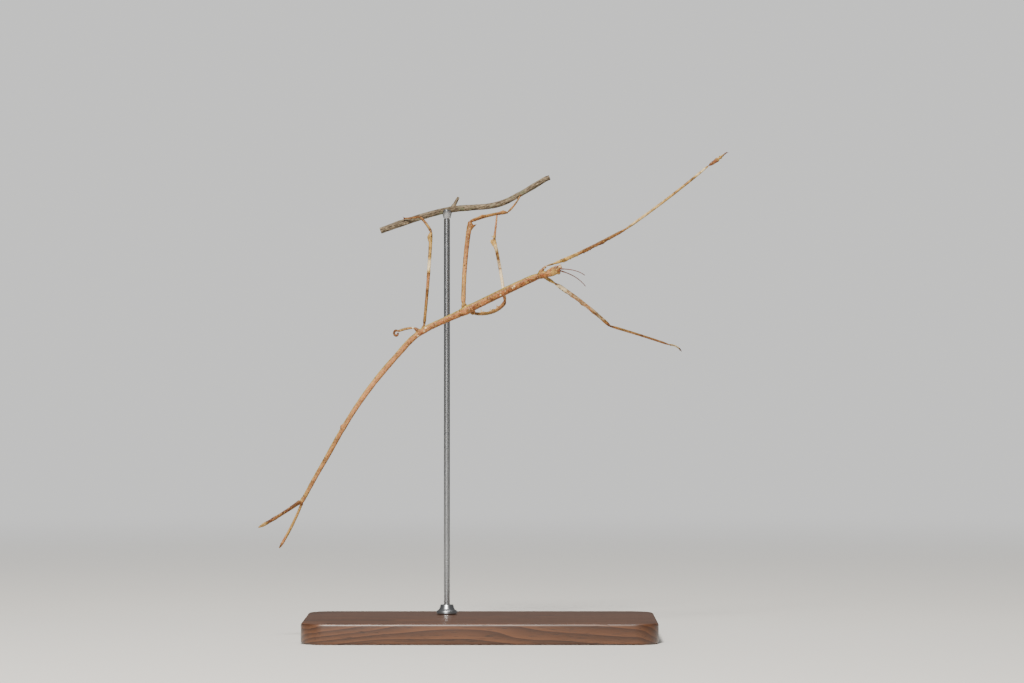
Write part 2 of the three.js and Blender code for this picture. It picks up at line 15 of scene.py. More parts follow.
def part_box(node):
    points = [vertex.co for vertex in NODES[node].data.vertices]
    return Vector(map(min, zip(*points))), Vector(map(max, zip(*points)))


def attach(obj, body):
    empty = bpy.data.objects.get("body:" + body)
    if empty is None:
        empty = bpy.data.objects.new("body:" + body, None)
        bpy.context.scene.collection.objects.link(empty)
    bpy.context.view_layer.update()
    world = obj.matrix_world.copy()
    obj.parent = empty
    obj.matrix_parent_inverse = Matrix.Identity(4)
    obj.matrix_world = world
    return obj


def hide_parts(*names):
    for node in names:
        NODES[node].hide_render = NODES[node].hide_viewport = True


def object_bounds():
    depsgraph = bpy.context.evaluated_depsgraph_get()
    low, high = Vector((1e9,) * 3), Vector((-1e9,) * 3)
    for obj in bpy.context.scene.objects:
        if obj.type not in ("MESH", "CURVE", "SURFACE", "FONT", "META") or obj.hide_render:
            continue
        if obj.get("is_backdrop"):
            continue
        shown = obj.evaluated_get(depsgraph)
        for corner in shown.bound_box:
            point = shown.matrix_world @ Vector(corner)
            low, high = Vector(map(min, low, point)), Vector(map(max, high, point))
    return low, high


bl_info = {
    "name": "Stick Insect on a Stand",
    "version": (1, 0, 0),
    "blender": (4, 5, 0),
    "location": "3D View > Sidebar > Stick Insect",
    "description": "Builds the skin, eyes, feelers, claws, perch, stand and studio",
    "category": "Add Mesh",
}

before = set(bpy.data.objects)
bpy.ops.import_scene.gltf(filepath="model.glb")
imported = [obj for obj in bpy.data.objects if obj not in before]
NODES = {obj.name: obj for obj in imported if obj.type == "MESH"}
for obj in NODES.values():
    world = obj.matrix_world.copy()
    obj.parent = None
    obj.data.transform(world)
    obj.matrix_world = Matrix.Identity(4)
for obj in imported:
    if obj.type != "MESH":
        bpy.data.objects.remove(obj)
CAD_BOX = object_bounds()

MM = 0.001
PER_METRE = 1000.0
UP = Vector((0, 0, 1))
BACKWARD = Vector((0, 1, 0))  # away from the camera

# ---- the insect's parts, as the frame names them ----
BACK_ROLL = math.radians(35)  # how far the back is rolled down from facing -Y
BODY = ("head", "prothorax", "mesothorax", "metathorax") + tuple(
    f"abdomen_{number}" for number in range(2, 11)
)
# A leg's root piece, and the rise of its outer side in the plane of the body, in degrees.
LEGS = {
    "fore_left": ("prothorax", 116),
    "fore_right": ("prothorax", 52),
    "mid_left": ("mesothorax", 176),
    "mid_right": ("mesothorax", -80),
    "hind_right": ("metathorax", 0),
    "hind_left": ("metathorax", 103),
}
# Shins whose outer side faces another way than the rest of the leg.
OUTER_OF_SHIN = {"mid_left_tibia": 106, "mid_right_tibia": 9}
CERCI = ("cercus_left", "cercus_right")
FEELERS = ("antenna_left", "antenna_right")
EYES = ("eye_left", "eye_right")


def leg_solids(leg):
    """The names of a leg's solids, from the body outwards."""
    names = (f"{leg}_{part}" for part in ("coxa", "femur", "tibia", "tarsus"))
    return tuple(name for name in names if name in NODES)


FLESH = BODY + CERCI + sum(map(leg_solids, LEGS), ())
FOOT_SHARE = 0.88  # of a foot's length is skin, and the claws take up the rest

# Points on the skin: solid, shares along it, turn from its outer side or back, height, radius.
THORNS = (
    ("fore_left_femur", [0.19 + 0.085 * step for step in range(8)], 180, 0.75, 0.32),
    ("fore_right_femur", [0.21 + 0.085 * step for step in range(8)], 180, 0.4, 0.26),
    ("mid_right_femur", [0.96], 180, 0.8, 0.34),
    ("mid_left_femur", [0.3, 0.62], 20, 0.3, 0.3),
    ("hind_right_femur", [0.52, 0.66], 200, 0.35, 0.34),
    ("mid_right_tarsus", [0.07], 180, 1.2, 0.5),
    ("mid_right_femur", [0.222, 0.5, 0.722], 180, 1.8, 0.52),
    ("mid_left_femur", [0.94], 180, 2.5, 0.66),
    ("mid_left_tibia", [0.33, 0.9], 0, 0.45, 0.36),
    ("fore_right_tibia", [0.93], 205, 0.5, 0.3),
    ("mesothorax", [0.1, 0.3, 0.56], 70, 0.3, 0.36),
    ("mesothorax", [0.22, 0.34, 0.47, 0.7, 0.93], -48, 0.34, 0.36),
    ("mesothorax", [0.486], 19, 0.26, 0.34),
    ("metathorax", [0.14, 0.5], 72, 0.26, 0.32),
    ("metathorax", [0.3, 0.86], -62, 0.28, 0.34),
    *(("head", [0.62], turn, 0.2, 0.22) for turn in (38, -38)),
    *(("head", [0.86], turn, 0.22, 0.22) for turn in (24, -24)),
)
# How far the thorns of a solid lean towards its far end.
LEANS = {"mid_left_femur": 0.7, "fore_left_femur": 0.3, "fore_right_femur": 0.3}

# Local changes of thickness: share along the solid, change of radius and half width in mm.
SWELLS = {
    "fore_right_femur": [(0.0, 0.34, 3.5), (0.135, -0.2, 1.6), (0.19, 0.08, 1.5)],
    "fore_left_coxa": [(0.4, -0.3, 2.2)],
    "mid_left_femur": [(0.5, 0.18, 60.0), (0.0, 0.12, 3.0)],
    "mid_left_coxa": [(0.0, 0.4, 1.3), (1.0, 0.25, 0.9)],
    "mid_right_tibia": [(1.0, 0.3, 1.0)],
    "mid_right_tarsus": [(0.0, 0.35, 1.1)],
    "cercus_left": [(0.5, 0.16, 9.0), (0.62, 0.14, 1.5), (0.84, 0.12, 1.5)],
    "mesothorax": [(0.93, 0.45, 3.4)],
    "mid_right_coxa": [(0.5, 0.3, 3.0)],
    "metathorax": [(0.0, 0.3, 2.6)],
    "fore_left_tarsus": [
        (0.02, -0.2, 1.4), (0.42, 0.15, 1.6), (0.525, -0.5, 0.32), (0.59, 0.12, 0.7),
        (0.665, -0.4, 0.32), (0.77, -0.3, 0.3),
    ],
}

# Places where the skin is flattened: share, turn and radius in mm.
FLATS = {
    "mid_right_femur": [(0.275, 180, 1.5), (0.555, 180, 1.5), (0.79, 180, 1.5)],
}

# Bands of colour round a solid: kind, from and to as shares of its length, strength, and
# the blur of their ends in mm. A clear band takes away the values named in CLEARED.
BANDS = {
    "fore_left_coxa": [("rust", -0.1, 0.7, 0.55, 0.8)],
    "fore_left_femur": [
        ("straw", -0.05, 0.38, 0.9, 2.0), ("flank", -0.05, 0.2, 0.9, 2.0),
        ("rust", 0.42, 0.9, 0.4, 5.0), ("dark", 0.5, 0.96, 0.3, 5.0),
        ("rust", 0.95, 1.1, 0.7, 1.0),
    ],
    "fore_left_tibia": [
        ("straw", -0.05, 1.05, 0.75, 1.0), ("pale", 0.06, 0.46, 0.42, 5.0),
        ("rust", -0.05, 0.04, 0.5, 1.0), ("rust", 0.55, 0.62, 0.6, 2.5),
        ("rust", 0.7, 0.77, 0.55, 2.5), ("pale", 0.84, 0.97, 0.5, 2.0),
    ],
    "fore_left_tarsus": [
        ("rust", -0.05, 0.42, 0.8, 0.7), ("straw", 0.45, 0.75, 1.0, 0.5),
        ("rust", 0.77, 1.1, 0.7, 0.4),
    ],
    "fore_right_coxa": [
        ("clear", -0.1, 1.1, 1.0, 0.8), ("straw", -0.1, 1.1, 1.0, 0.8),
        ("pale", -0.1, 1.1, 0.3, 0.8),
    ],
    "fore_right_femur": [
        ("clear", -0.05, 0.3, 0.9, 0.8), ("straw", -0.05, 0.12, 1.0, 0.8),
        ("pale", -0.05, 0.12, 0.3, 0.8), ("rust", 0.128, 0.144, 0.6, 0.6),
        ("white", 0.15, 0.27, 1.0, 2.2), ("pale", 0.15, 0.29, 1.0, 2.0),
        ("white", 0.24, 0.36, 0.5, 4.0), ("thorax", 0.26, 0.8, 0.5, 3.0),
        ("pale", 0.3, 0.9, 0.4, 3.0), ("light", 0.16, 0.7, 0.8, 6.0),
        ("rust", 0.94, 1.1, 0.8, 1.0),
    ],
    "fore_right_tibia": [
        ("rust", -0.05, 0.05, 0.6, 1.0), ("light", 0.05, 1.05, 0.7, 1.0),
        ("straw", 0.05, 0.45, 0.4, 4.0), ("rust", 0.485, 0.535, 0.85, 0.8),
        ("rust", 0.56, 0.95, 0.4, 4.0),
    ],
    "fore_right_tarsus": [("pale", 0.05, 0.7, 0.6, 1.5), ("dark", 0.78, 1.1, 0.7, 1.0)],
    "mid_left_coxa": [("straw", -0.1, 1.1, 0.6, 1.0)],
    "mid_left_femur": [
        ("straw", -0.05, 0.4, 0.45, 4.0), ("light", -0.05, 0.9, 0.5, 4.0),
        ("rust", 0.52, 0.9, 0.4, 5.0), ("rust", 0.92, 1.1, 0.5, 1.0),
    ],
    "mid_left_tibia": [
        ("thorax", 0.02, 0.34, 0.5, 3.0), ("light", 0.02, 0.95, 0.5, 3.0),
        ("straw", 0.36, 0.7, 0.45, 4.0), ("pale", 0.93, 1.1, 0.4, 1.0),
    ],
    "mid_left_tarsus": [("straw", 0.1, 0.9, 0.4, 2.0)],
    "mid_right_coxa": [("thorax", -0.1, 1.1, 1.0, 1.0), ("light", -0.1, 1.1, 0.5, 1.0)],
    "mid_right_femur": [
        ("straw", 0.05, 0.75, 0.5, 3.0), ("light", 0.1, 0.9, 0.6, 3.0),
        ("rust", 0.92, 1.1, 0.5, 1.0),
    ],
    "mid_right_tibia": [
        ("white", 0.08, 0.5, 1.0, 5.0), ("white", 0.5, 0.66, 0.5, 3.0),
        ("straw", 0.7, 1.1, 0.8, 2.0), ("pale", 0.79, 0.92, 0.5, 1.5),
        ("rust", 0.742, 0.77, 1.0, 0.35),
    ],
    "mid_right_tarsus": [
        ("clear", 0.1, 1.0, 0.8, 1.5), ("straw", -0.05, 0.12, 0.9, 0.8),
        ("thorax", 0.14, 0.9, 0.4, 2.5), ("light", 0.1, 0.9, 0.9, 2.5),
        ("pale", 0.6, 0.8, 0.3, 2.0),
    ],
    "hind_right_femur": [
        ("straw", 0.03, 0.28, 0.5, 4.0), ("thorax", 0.28, 0.56, 0.35, 4.0),
        ("light", 0.4, 0.56, 0.6, 3.0), ("dark", 0.12, 0.4, 0.4, 4.0),
        ("dark", 0.548, 0.562, 0.6, 0.3), ("pale", 0.58, 0.72, 0.7, 3.0),
        ("white", 0.6, 0.7, 0.5, 2.0), ("straw", 0.56, 1.0, 0.8, 1.0),
    ],
    "hind_right_tibia": [("straw", 0.1, 0.5, 0.6, 3.0), ("rust", 0.5, 0.6, 0.6, 2.0)],
    "hind_left_coxa": [("rust", -0.1, 1.1, 0.5, 1.0)],
    "hind_left_femur": [
        ("pale", -0.05, 0.1, 0.8, 0.8), ("dark", 0.14, 0.5, 0.3, 1.0),
        ("straw", 0.3, 0.9, 0.5, 1.5),
    ],
    "hind_left_tibia": [("rust", -0.2, 1.3, 0.55, 1.0)],
    "cercus_left": [
        ("rust", -0.1, 0.78, 0.55, 2.5), ("straw", 0.8, 1.1, 0.95, 2.0),
        ("pale", 0.82, 0.93, 0.4, 1.5),
    ],
    "cercus_right": [
        ("straw", 0.02, 0.74, 0.6, 3.0), ("light", 0.02, 0.9, 0.6, 3.0),
        ("rust", 0.7, 0.84, 0.4, 2.0), ("dark", 0.9, 1.1, 0.3, 2.0),
    ],
    "abdomen_9": [("straw", 0.1, 0.95, 0.5, 1.0)],
    "abdomen_10": [("rust", 0.55, 0.9, 0.5, 0.5)],
}
# Round spots: kind, share along the solid, turn from its outer side or back, radius in mm
# and strength.
SPOTS = {
    "head": [
        (kind, share, side * turn, *size)
        for side in (1, -1)
        for kind, share, turn, *size in (
            ("straw", 0.47, 76, 0.5, 1.0), ("straw", 0.6, 108, 0.6, 0.9),
            ("rust", 0.66, 66, 0.6, 0.9), ("rust", 0.57, 60, 0.5, 0.8),
            ("straw", 0.72, 100, 0.7, 1.0),
        )
    ] + [("pale", 0.93, 96, 0.5, 0.7)],
    "fore_left_coxa": [("pale", 0.52, 95, 0.6, 1.0), ("pale", 0.87, 87, 0.5, 1.0)],
    "fore_left_femur": [("pale", 0.36, 60, 1.2, 0.8), ("pale", 0.4, 40, 1.0, 0.8)],
    "mesothorax": [
        ("pale", 0.3, 50, 0.6, 1.0), ("pale", 0.325, 42, 0.5, 1.0),
        ("dark", 0.342, 30, 0.4, 1.0), ("pale", 0.34, -40, 0.4, 0.9),
        ("pale", 0.22, -44, 0.4, 0.9), ("pale", 0.486, 19, 0.5, 0.9),
        ("rust", 0.47, 16, 0.6, 0.8), ("rust", 0.9, 14, 1.2, 0.7),
        ("light", 0.92, 46, 1.6, 1.0), ("pale", 0.93, -44, 0.5, 0.9),
    ],
    "metathorax": [
        ("pale", 0.79, 73, 0.7, 0.8), ("pale", 0.85, 30, 0.55, 0.8),
        ("rust", 0.92, 8, 1.0, 0.9),
    ],
    "abdomen_2": [("pale", 0.04, 14, 0.7, 0.8)],
    "abdomen_3": [("straw", 0.02, 96, 0.8, 0.8)],
    "abdomen_10": [("straw", 0.5, 44, 0.8, 0.9)],
    "mid_left_femur": [("dark", 0.45, 38, 0.4, 1.0)],
    "mid_right_femur": [
        ("pale", 0.222, 180, 0.8, 0.9), ("pale", 0.5, 180, 0.8, 0.9),
        ("pale", 0.722, 180, 0.8, 0.7),
    ],
    "mid_right_tarsus": [("pale", 0.06, 180, 0.7, 0.9)],
    "mid_right_tibia": [("pale", 0.98, 180, 0.8, 0.9)],
    "hind_right_femur": [("pale", 0.03, 120, 0.5, 0.8)],
    "fore_right_femur": [
        # Painted shade: dark spots on the underside, beneath the femur's white length.
        ("dark", 0.2, 176, 1.1, 0.8), ("dark", 0.25, 184, 1.1, 0.85),
        ("dark", 0.3, 176, 1.1, 0.8), ("dark", 0.35, 184, 1.0, 0.75),
    ],
}

# Values that the skin's colours read at each of its points.
SKIN_VALUES = ("thorax", "light", "flank", "tops", "white", "pale", "rust", "dark", "straw")
CLEARED = ("thorax", "flank", "rust", "dark")


# ---- what a user would change ----
def tone(code):
    """Linear red, green and blue of a colour such as 'c8a070'."""
    shade = Color(int(code[place : place + 2], 16) / 255 for place in (0, 2, 4))
    return tuple(shade.from_srgb_to_scene_linear())


def colour_property(name, description, code):
    return bpy.props.FloatVectorProperty(
        name=name, description=description, subtype="COLOR", size=3, min=0, max=1,
        default=tone(code),
    )


def size_property(name, description, default, low, high):
    return bpy.props.FloatProperty(
        name=name, description=description, default=default, min=low, max=high
    )


class InsectSizes(bpy.types.PropertyGroup):
    """Sizes of the insect's skin and small parts, in millimetres."""

    voxel: size_property(
        "Voxel", "Cell of the mesh that joins the parts into one skin", 0.262, 0.2, 1.0
    )
    crease: size_property("Crease", "Depth of the fold between two body rings", 0.07, 0.0, 0.4)
    granule: size_property("Granule", "Height of the grains on the thorax", 0.14, 0.0, 0.4)
    keel: size_property("Keel", "Height of the lengthwise ridges on the legs", 0.05, 0.0, 0.3)
    claw: size_property("Claw", "Length of a claw along its curve", 1.5, 0.5, 3.0)
    feeler_rings: bpy.props.IntProperty(
        name="Feeler rings", description="Number of rings of one feeler", default=16, min=6,
        max=40,
    )


class InsectColours(bpy.types.PropertyGroup):
    """Colours of the skin, eyes, feelers and claws."""

    tan: colour_property("Tan", "Most of the skin", "9a683a")
    brown: colour_property("Brown", "Mottling of the skin", "4c2a12")
    salmon: colour_property("Salmon", "Thorax and the front of the abdomen", "9c562c")
    peach: colour_property("Peach", "Light lengths of the body", "cc8c5c")
    # Rust is also painted shade on the undersides of the legs.
    rust: colour_property("Rust", "Joints, coxae and feet", "743c20")
    straw: colour_property("Straw", "Pale lengths of the legs", "bc9650")
    pale: colour_property("Pale", "Cream spots and knobs", "ead7aa")
    white: colour_property("White", "White lengths of the legs", "f8e0b4")
    dark: colour_property("Dark", "Flecks, folds and spots", "1e1109")
    # Olive is also a painted highlight on the upper sides of the legs.
    olive: colour_property("Olive", "Lines along the flanks of the back", "a0903c")
    eye: colour_property("Eye", "Middle of the eye", "866452")
    feeler: colour_property("Feeler", "Red-brown of the feelers", "70371c")
    claw: colour_property("Claw", "Claws", "4e2814")


class StandFinish(bpy.types.PropertyGroup):
    """Finishes of the perch, the stand and the studio."""

    bark: colour_property("Bark", "Ridges of the bark", "8a7a62")
    furrow: colour_property("Furrow", "Furrows of the bark", "40352a")
    moss: colour_property("Moss", "Green patches of the bark", "7c8262")
    pore: colour_property("Pore", "Pale pores of the bark", "b09a78")
    heartwood: colour_property("Heartwood", "Cut ends of the twig", "cbb083")
    wood: colour_property("Wood", "Base, between its rings", "6a442b")
    ring: colour_property("Ring", "Dark rings of the base's wood", "3a2316")
    vessel: colour_property("Vessel", "Open pores of the base's wood", "21130c")
    steel: colour_property("Steel", "Rod, collar and cradle", "b8babd")
    brushing: colour_property("Brushing", "Fine lines round the steel", "9da0a3")
    floor: colour_property("Floor", "Studio floor", "d9d7d2")
    view_width: bpy.props.FloatProperty(
        name="View width", description="Width of the view at the insect",
        default=490.2 * MM, subtype="DISTANCE",
    )
    distance: bpy.props.FloatProperty(
        name="Distance", description="From the camera to the plane of the body",
        default=2.0, subtype="DISTANCE",
    )


# ---- reading the frame ----
MERGED = 0.001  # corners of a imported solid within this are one, in millimetres
TOUCH = 0.5  # neighbouring solids lie closer than this, in millimetres
END_DEPTH = 0.3  # the corners this near to the farthest one make up a solid's end
OUTSIDE = 12  # farther from a solid's axis than any skin


def solid(name):
    """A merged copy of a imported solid, in millimetres."""
    shape = bmesh.new()
    shape.from_mesh(NODES[name].data)
    bmesh.ops.remove_doubles(shape, verts=shape.verts, dist=MERGED * MM)
    bmesh.ops.scale(shape, vec=(PER_METRE,) * 3, verts=shape.verts)
    shape.verts.ensure_lookup_table()
    return shape


def box_mm(name):
    low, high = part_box(name)
    return low * PER_METRE, high * PER_METRE


def mean(points):
    return sum(points, Vector()) / len(points)


def square_to(way, along):
    """A direction made square to another, at length 1."""
    return (way - way.project(along)).normalized()


class Surfaces:
    """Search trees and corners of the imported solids, made when they are first asked for."""

    def __init__(self):
        self.kept = {}

    def __getitem__(self, name):
        if name not in self.kept:
            shape = solid(name)
            corners = [vert.co.copy() for vert in shape.verts]
            self.kept[name] = (BVHTree.FromBMesh(shape), corners)
            shape.free()
        return self.kept[name]


surfaces = Surfaces()


def meeting(first, second):
    """The middle and the radius of the place where the second solid lies against the first."""
    tree = surfaces[first][0]
    near = [
        corner for corner in surfaces[second][1]
        if tree.find_nearest(corner, TOUCH)[0] is not None
    ]
    middle = mean(near)
    return middle, max((corner - middle).length for corner in near)


def tip(name, start):
    """The middle of a solid's end that is farthest from a start."""
    corners = surfaces[name][1]
    reach = max((corner - start).length for corner in corners)
    return mean([corner for corner in corners if (corner - start).length > reach - END_DEPTH])


class Length:
    """One solid of the body or a leg: its axis, its outer side or back, and its flank."""

    def __init__(self, name, start, end, outer):
        self.name = name
        self.start = start
        self.end = end
        self.size = (end - start).length
        self.along = (end - start).normalized()
        self.outer = square_to(outer, self.along)
        self.side = self.along.cross(self.outer)

    def share(self, spot):
        return (spot - self.start).dot(self.along) / self.size

    def spot(self, share):
        return self.start.lerp(self.end, share)

    def way(self, turn):
        angle = math.radians(turn)
        return self.outer * math.cos(angle) + self.side * math.sin(angle)

    def on_skin(self, share, turn):
        """The point of the solid's surface at a share and a turn."""
        way = self.way(turn)
        hit = surfaces[self.name][0].ray_cast(self.spot(share) + way * OUTSIDE, -way)[0]
        return hit or self.spot(share)


def body_back(tailward):
    """The way that the back faces on a length of the body."""
    upright = BACKWARD.cross(tailward).normalized()
    return -upright * math.sin(BACK_ROLL) - BACKWARD * math.cos(BACK_ROLL)


def chain(names, start):
    """Names, starts and ends of solids that follow each other from a start."""
    places = [start] + [meeting(*pair)[0] for pair in zip(names, names[1:])]
    places.append(tip(names[-1], places[-1]))
    return list(zip(names, places, places[1:]))


def all_lengths():
    """The Length of every solid of flesh."""
    trunk = chain(BODY, tip("head", mean(surfaces["prothorax"][1])))
    for cercus in CERCI:
        trunk += chain((cercus,), meeting(BODY[-1], cercus)[0])
    lengths = {
        name: Length(name, start, end, body_back(end - start)) for name, start, end in trunk
    }
    for leg, (root, leg_rise) in LEGS.items():
        names = leg_solids(leg)
        for name, start, end in chain(names, meeting(root, names[0])[0]):
            rise = math.radians(OUTER_OF_SHIN.get(name, leg_rise))
            outer = Vector((math.cos(rise), 0, math.sin(rise)))
            lengths[name] = Length(name, start, end, outer)
    return lengths


LENGTHS = all_lengths()


# ---- modelling helpers ----
SUNK = 0.35  # of a thorn's height is under the skin
BLUNT = 0.15  # radius of a thorn's point, as a share of its foot


def pointed(spot, way):
    """Places a shape at a spot, with its own Z along a way."""
    return Matrix.Translation(spot) @ way.to_track_quat("Z", "Y").to_matrix().to_4x4()


def station(centre, along, top, half_side, half_top):
    """Carries the unit circle to a cross-section."""
    along = along.normalized()
    top = square_to(top, along)
    axes = Matrix((along.cross(top) * half_side, top * half_top, along))
    return Matrix.Translation(centre) @ axes.transposed().to_4x4()


def tube(shape, stations, sides):
    """A closed tube through cross-sections. Returns its new vertices, ring by ring."""
    ring = bmesh.ops.create_circle(
        shape, segments=sides, radius=1.0, matrix=stations[0]
    )["verts"]
    edges = list(dict.fromkeys(edge for vert in ring for edge in vert.link_edges))
    rings, first = [ring], edges
    for before, after in zip(stations, stations[1:]):
        grown = bmesh.ops.extrude_edge_only(shape, edges=edges)["geom"]
        ring = [item for item in grown if isinstance(item, bmesh.types.BMVert)]
        fresh = set(ring)
        edges = [
            item for item in grown
            if isinstance(item, bmesh.types.BMEdge) and fresh.issuperset(item.verts)
        ]
        bmesh.ops.transform(shape, matrix=after @ before.inverted(), verts=ring)
        rings.append(ring)
    bmesh.ops.holes_fill(shape, edges=first + edges, sides=sides)
    return rings


def spike(shape, spot, way, height, radius):
    """A small blunt cone that stands on a surface."""
    sunk = height * SUNK
    bmesh.ops.create_cone(
        shape, cap_ends=True, segments=8, radius1=radius, radius2=radius * BLUNT,
        depth=height + sunk, matrix=pointed(spot + way * (height - sunk) / 2, way),
    )


def ease(low, high, value):
    """0 below low, 1 above high and smooth between them."""
    share = min(1.0, max(0.0, (value - low) / (high - low)))
    return share * share * (3 - 2 * share)


def bell(value, centre, width):
    """1 at the centre, and falling away on both sides of it."""
    off = (value - centre) / width
    return math.exp(-off * off)


def face_outward(shape):
    bmesh.ops.recalc_face_normals(shape, faces=shape.faces)


def smooth(shape, verts, rounds):
    for _ in range(rounds):
        bmesh.ops.smooth_vert(
            shape, verts=verts, factor=0.5, use_axis_x=True, use_axis_y=True, use_axis_z=True
        )


def to_mesh(name, shape):
    """A mesh made from a shape, which is used up."""
    mesh = bpy.data.meshes.new(name)
    shape.to_mesh(mesh)
    shape.free()
    return mesh


def placed(name, data):
    """An object in the scene, from a mesh, a light or a camera."""
    thing = bpy.data.objects.new(name, data)
    bpy.context.scene.collection.objects.link(thing)
    return thing


def finish(name, shape, materials, slot, *replaced, sharp=None):
    """Turns a shape into an object in metres that rides on the frame."""
    mesh = to_mesh(name, shape)
    mesh.transform(Matrix.Scale(MM, 4))
    mesh.shade_smooth()
    if sharp is not None:
        mesh.set_sharp_from_angle(angle=math.radians(sharp))
    for material in materials:
        mesh.materials.append(material)
    piece = placed(name, mesh)
    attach(piece, "root")
    if replaced:
        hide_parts(*replaced)


# ---- shader helpers ----
def plug(tree, node, sockets):
    """Sets a node's sockets. A value is a number, a colour or another node's output."""
    for key, value in sockets.items():
        if isinstance(value, bpy.types.NodeSocket):
            tree.links.new(value, node.inputs[key])
        else:
            node.inputs[key].default_value = value


def add(tree, kind, sockets=None, output=0, **settings):
    """A new node's output."""
    node = tree.nodes.new(kind)
    for key, value in settings.items():
        setattr(node, key, value)
    plug(tree, node, sockets or {})
    return node.outputs[output]


def math_node(tree, operation, *values):
    return add(tree, "ShaderNodeMath", dict(enumerate(values)), operation=operation)


def times(tree, *values):
    return math_node(tree, "MULTIPLY", *values)


def vector_node(tree, operation, sockets, output=0):
    return add(tree, "ShaderNodeVectorMath", sockets, output, operation=operation)


def mixed(tree, share, first, second):
    """A colour between two others, which are colours or outputs."""
    sockets = {0: share}
    for place, colour in ((6, first), (7, second)):
        plain = not isinstance(colour, bpy.types.NodeSocket)
        sockets[place] = (*colour[:3], 1.0) if plain else colour
    return add(tree, "ShaderNodeMix", sockets, 2, data_type="RGBA")


def laid(tree, colour, shade, mask, strength):
    """A colour with a shade laid over it where a mask is set."""
    return mixed(tree, times(tree, mask, strength), colour, shade)


def attribute(tree, name, output="Fac"):
    return add(tree, "ShaderNodeAttribute", None, output, attribute_name=name)


def eased(tree, value, low, high, to_low=0.0, to_high=1.0):
    """One number below low, another above high and smooth between them."""
    return add(tree, "ShaderNodeMapRange", {
        "Value": value, "From Min": low, "From Max": high, "To Min": to_low, "To Max": to_high,
    }, interpolation_type="SMOOTHSTEP")


def between(tree, mask, low, high):
    """A number that goes from low to high with a mask."""
    return add(tree, "ShaderNodeMapRange", {"Value": mask, "To Min": low, "To Max": high})


def clouds(tree, vector, scale, detail, output=0):
    """Noise, as a number or, with output 1, as a colour."""
    sockets = {"Vector": vector, "Scale": scale, "Detail": detail}
    return add(tree, "ShaderNodeTexNoise", sockets, output)


def new_group(name, result, **numbers):
    """An empty shader group from a vector and numbers to one number. Returns its ends too."""
    tree = bpy.data.node_groups.new(name, "ShaderNodeTree")
    tree.interface.new_socket("Vector", in_out="INPUT", socket_type="NodeSocketVector")
    for title, default in numbers.items():
        socket = tree.interface.new_socket(title, in_out="INPUT", socket_type="NodeSocketFloat")
        socket.default_value = default
    tree.interface.new_socket(result, in_out="OUTPUT", socket_type="NodeSocketFloat")
    ins, outs = tree.nodes.new("NodeGroupInput"), tree.nodes.new("NodeGroupOutput")
    return tree, ins.outputs, outs


def mottle_group(name):
    """Cloudy spots: 0 where the noise is under Low and 1 where it is over High."""
    tree, ins, outs = new_group(name, "Mask", Scale=1.0, Detail=3.0, Low=0.4, High=0.6)
    cloud = clouds(tree, ins["Vector"], ins["Scale"], ins["Detail"])
    plug(tree, outs, {0: eased(tree, cloud, ins["Low"], ins["High"])})
    return tree


def ragged_group(name):
    """Gives a soft mask an uneven edge."""
    tree, ins, outs = new_group(name, "Mask", Mask=0.0, Scale=1.0, Raggedness=0.6)
    centred = math_node(
        tree, "SUBTRACT", clouds(tree, ins["Vector"], ins["Scale"], 4.0), 0.5
    )
    shifted = math_node(tree, "MULTIPLY_ADD", centred, ins["Raggedness"], ins["Mask"])
    plug(tree, outs, {0: eased(tree, shifted, 0.25, 0.75)})
    return tree


def grain_group(name):
    """Fine relief: small rounded grains over a cloudy surface."""
    tree, ins, outs = new_group(name, "Height", Scale=1.0, Grains=0.5)
    sockets = {"Vector": ins["Vector"], "Scale": ins["Scale"]}
    cells = add(tree, "ShaderNodeTexVoronoi", sockets, "Distance", feature="SMOOTH_F1")
    domes = math_node(tree, "SUBTRACT", 1.0, cells)
    cloud = clouds(tree, ins["Vector"], ins["Scale"], 5.0)
    plug(tree, outs, {0: math_node(tree, "MULTIPLY_ADD", domes, ins["Grains"], cloud)})
    return tree


def grouped(tree, name, maker, **sockets):
    """The output of a shader group that is built once and used by many materials."""
    group = bpy.data.node_groups.get(name) or maker(name)
    node = tree.nodes.new("ShaderNodeGroup")
    node.node_tree = group
    plug(tree, node, sockets)
    return node.outputs[0]


def mottle(tree, vector, scale, low, high, detail=3.0):
    return grouped(
        tree, "Mottle", mottle_group,
        Vector=vector, Scale=scale, Low=low, High=high, Detail=detail,
    )


def ragged(tree, mask, vector, scale, raggedness):
    return grouped(
        tree, "Ragged edge", ragged_group,
        Mask=mask, Vector=vector, Scale=scale, Raggedness=raggedness,
    )


def grain(tree, vector, scale, grains):
    return grouped(
        tree, "Grain relief", grain_group, Vector=vector, Scale=scale, Grains=grains
    )


def stretched(tree, vector, *scale):
    """A pattern's coordinates, scaled by three factors."""
    return add(tree, "ShaderNodeMapping", {"Vector": vector, "Scale": scale})


def object_place(tree):
    return add(tree, "ShaderNodeTexCoord", None, "Object")


def object_mm(tree):
    """Object coordinates in millimetres."""
    return stretched(tree, object_place(tree), *(PER_METRE,) * 3)


def new_material(name, plain):
    """A material with a Principled shader and the sockets that are the same all over."""
    material = bpy.data.materials.new(name)
    material.use_nodes = True
    tree = material.node_tree
    shader = tree.nodes["Principled BSDF"]
    plug(tree, shader, plain)
    return material, tree, shader


def wire(tree, shader, colour, roughness=None, height=None, strength=0.3, depth=0.05):
    """Joins a material's outputs to its shader. Depth is the bump's height in millimetres."""
    plug(tree, shader, {"Base Color": colour})
    if roughness is not None:
        plug(tree, shader, {"Roughness": roughness})
    if height is not None:
        plug(tree, shader, {"Normal": add(tree, "ShaderNodeBump", {
            "Height": height, "Strength": strength, "Distance": depth * MM,
        })})


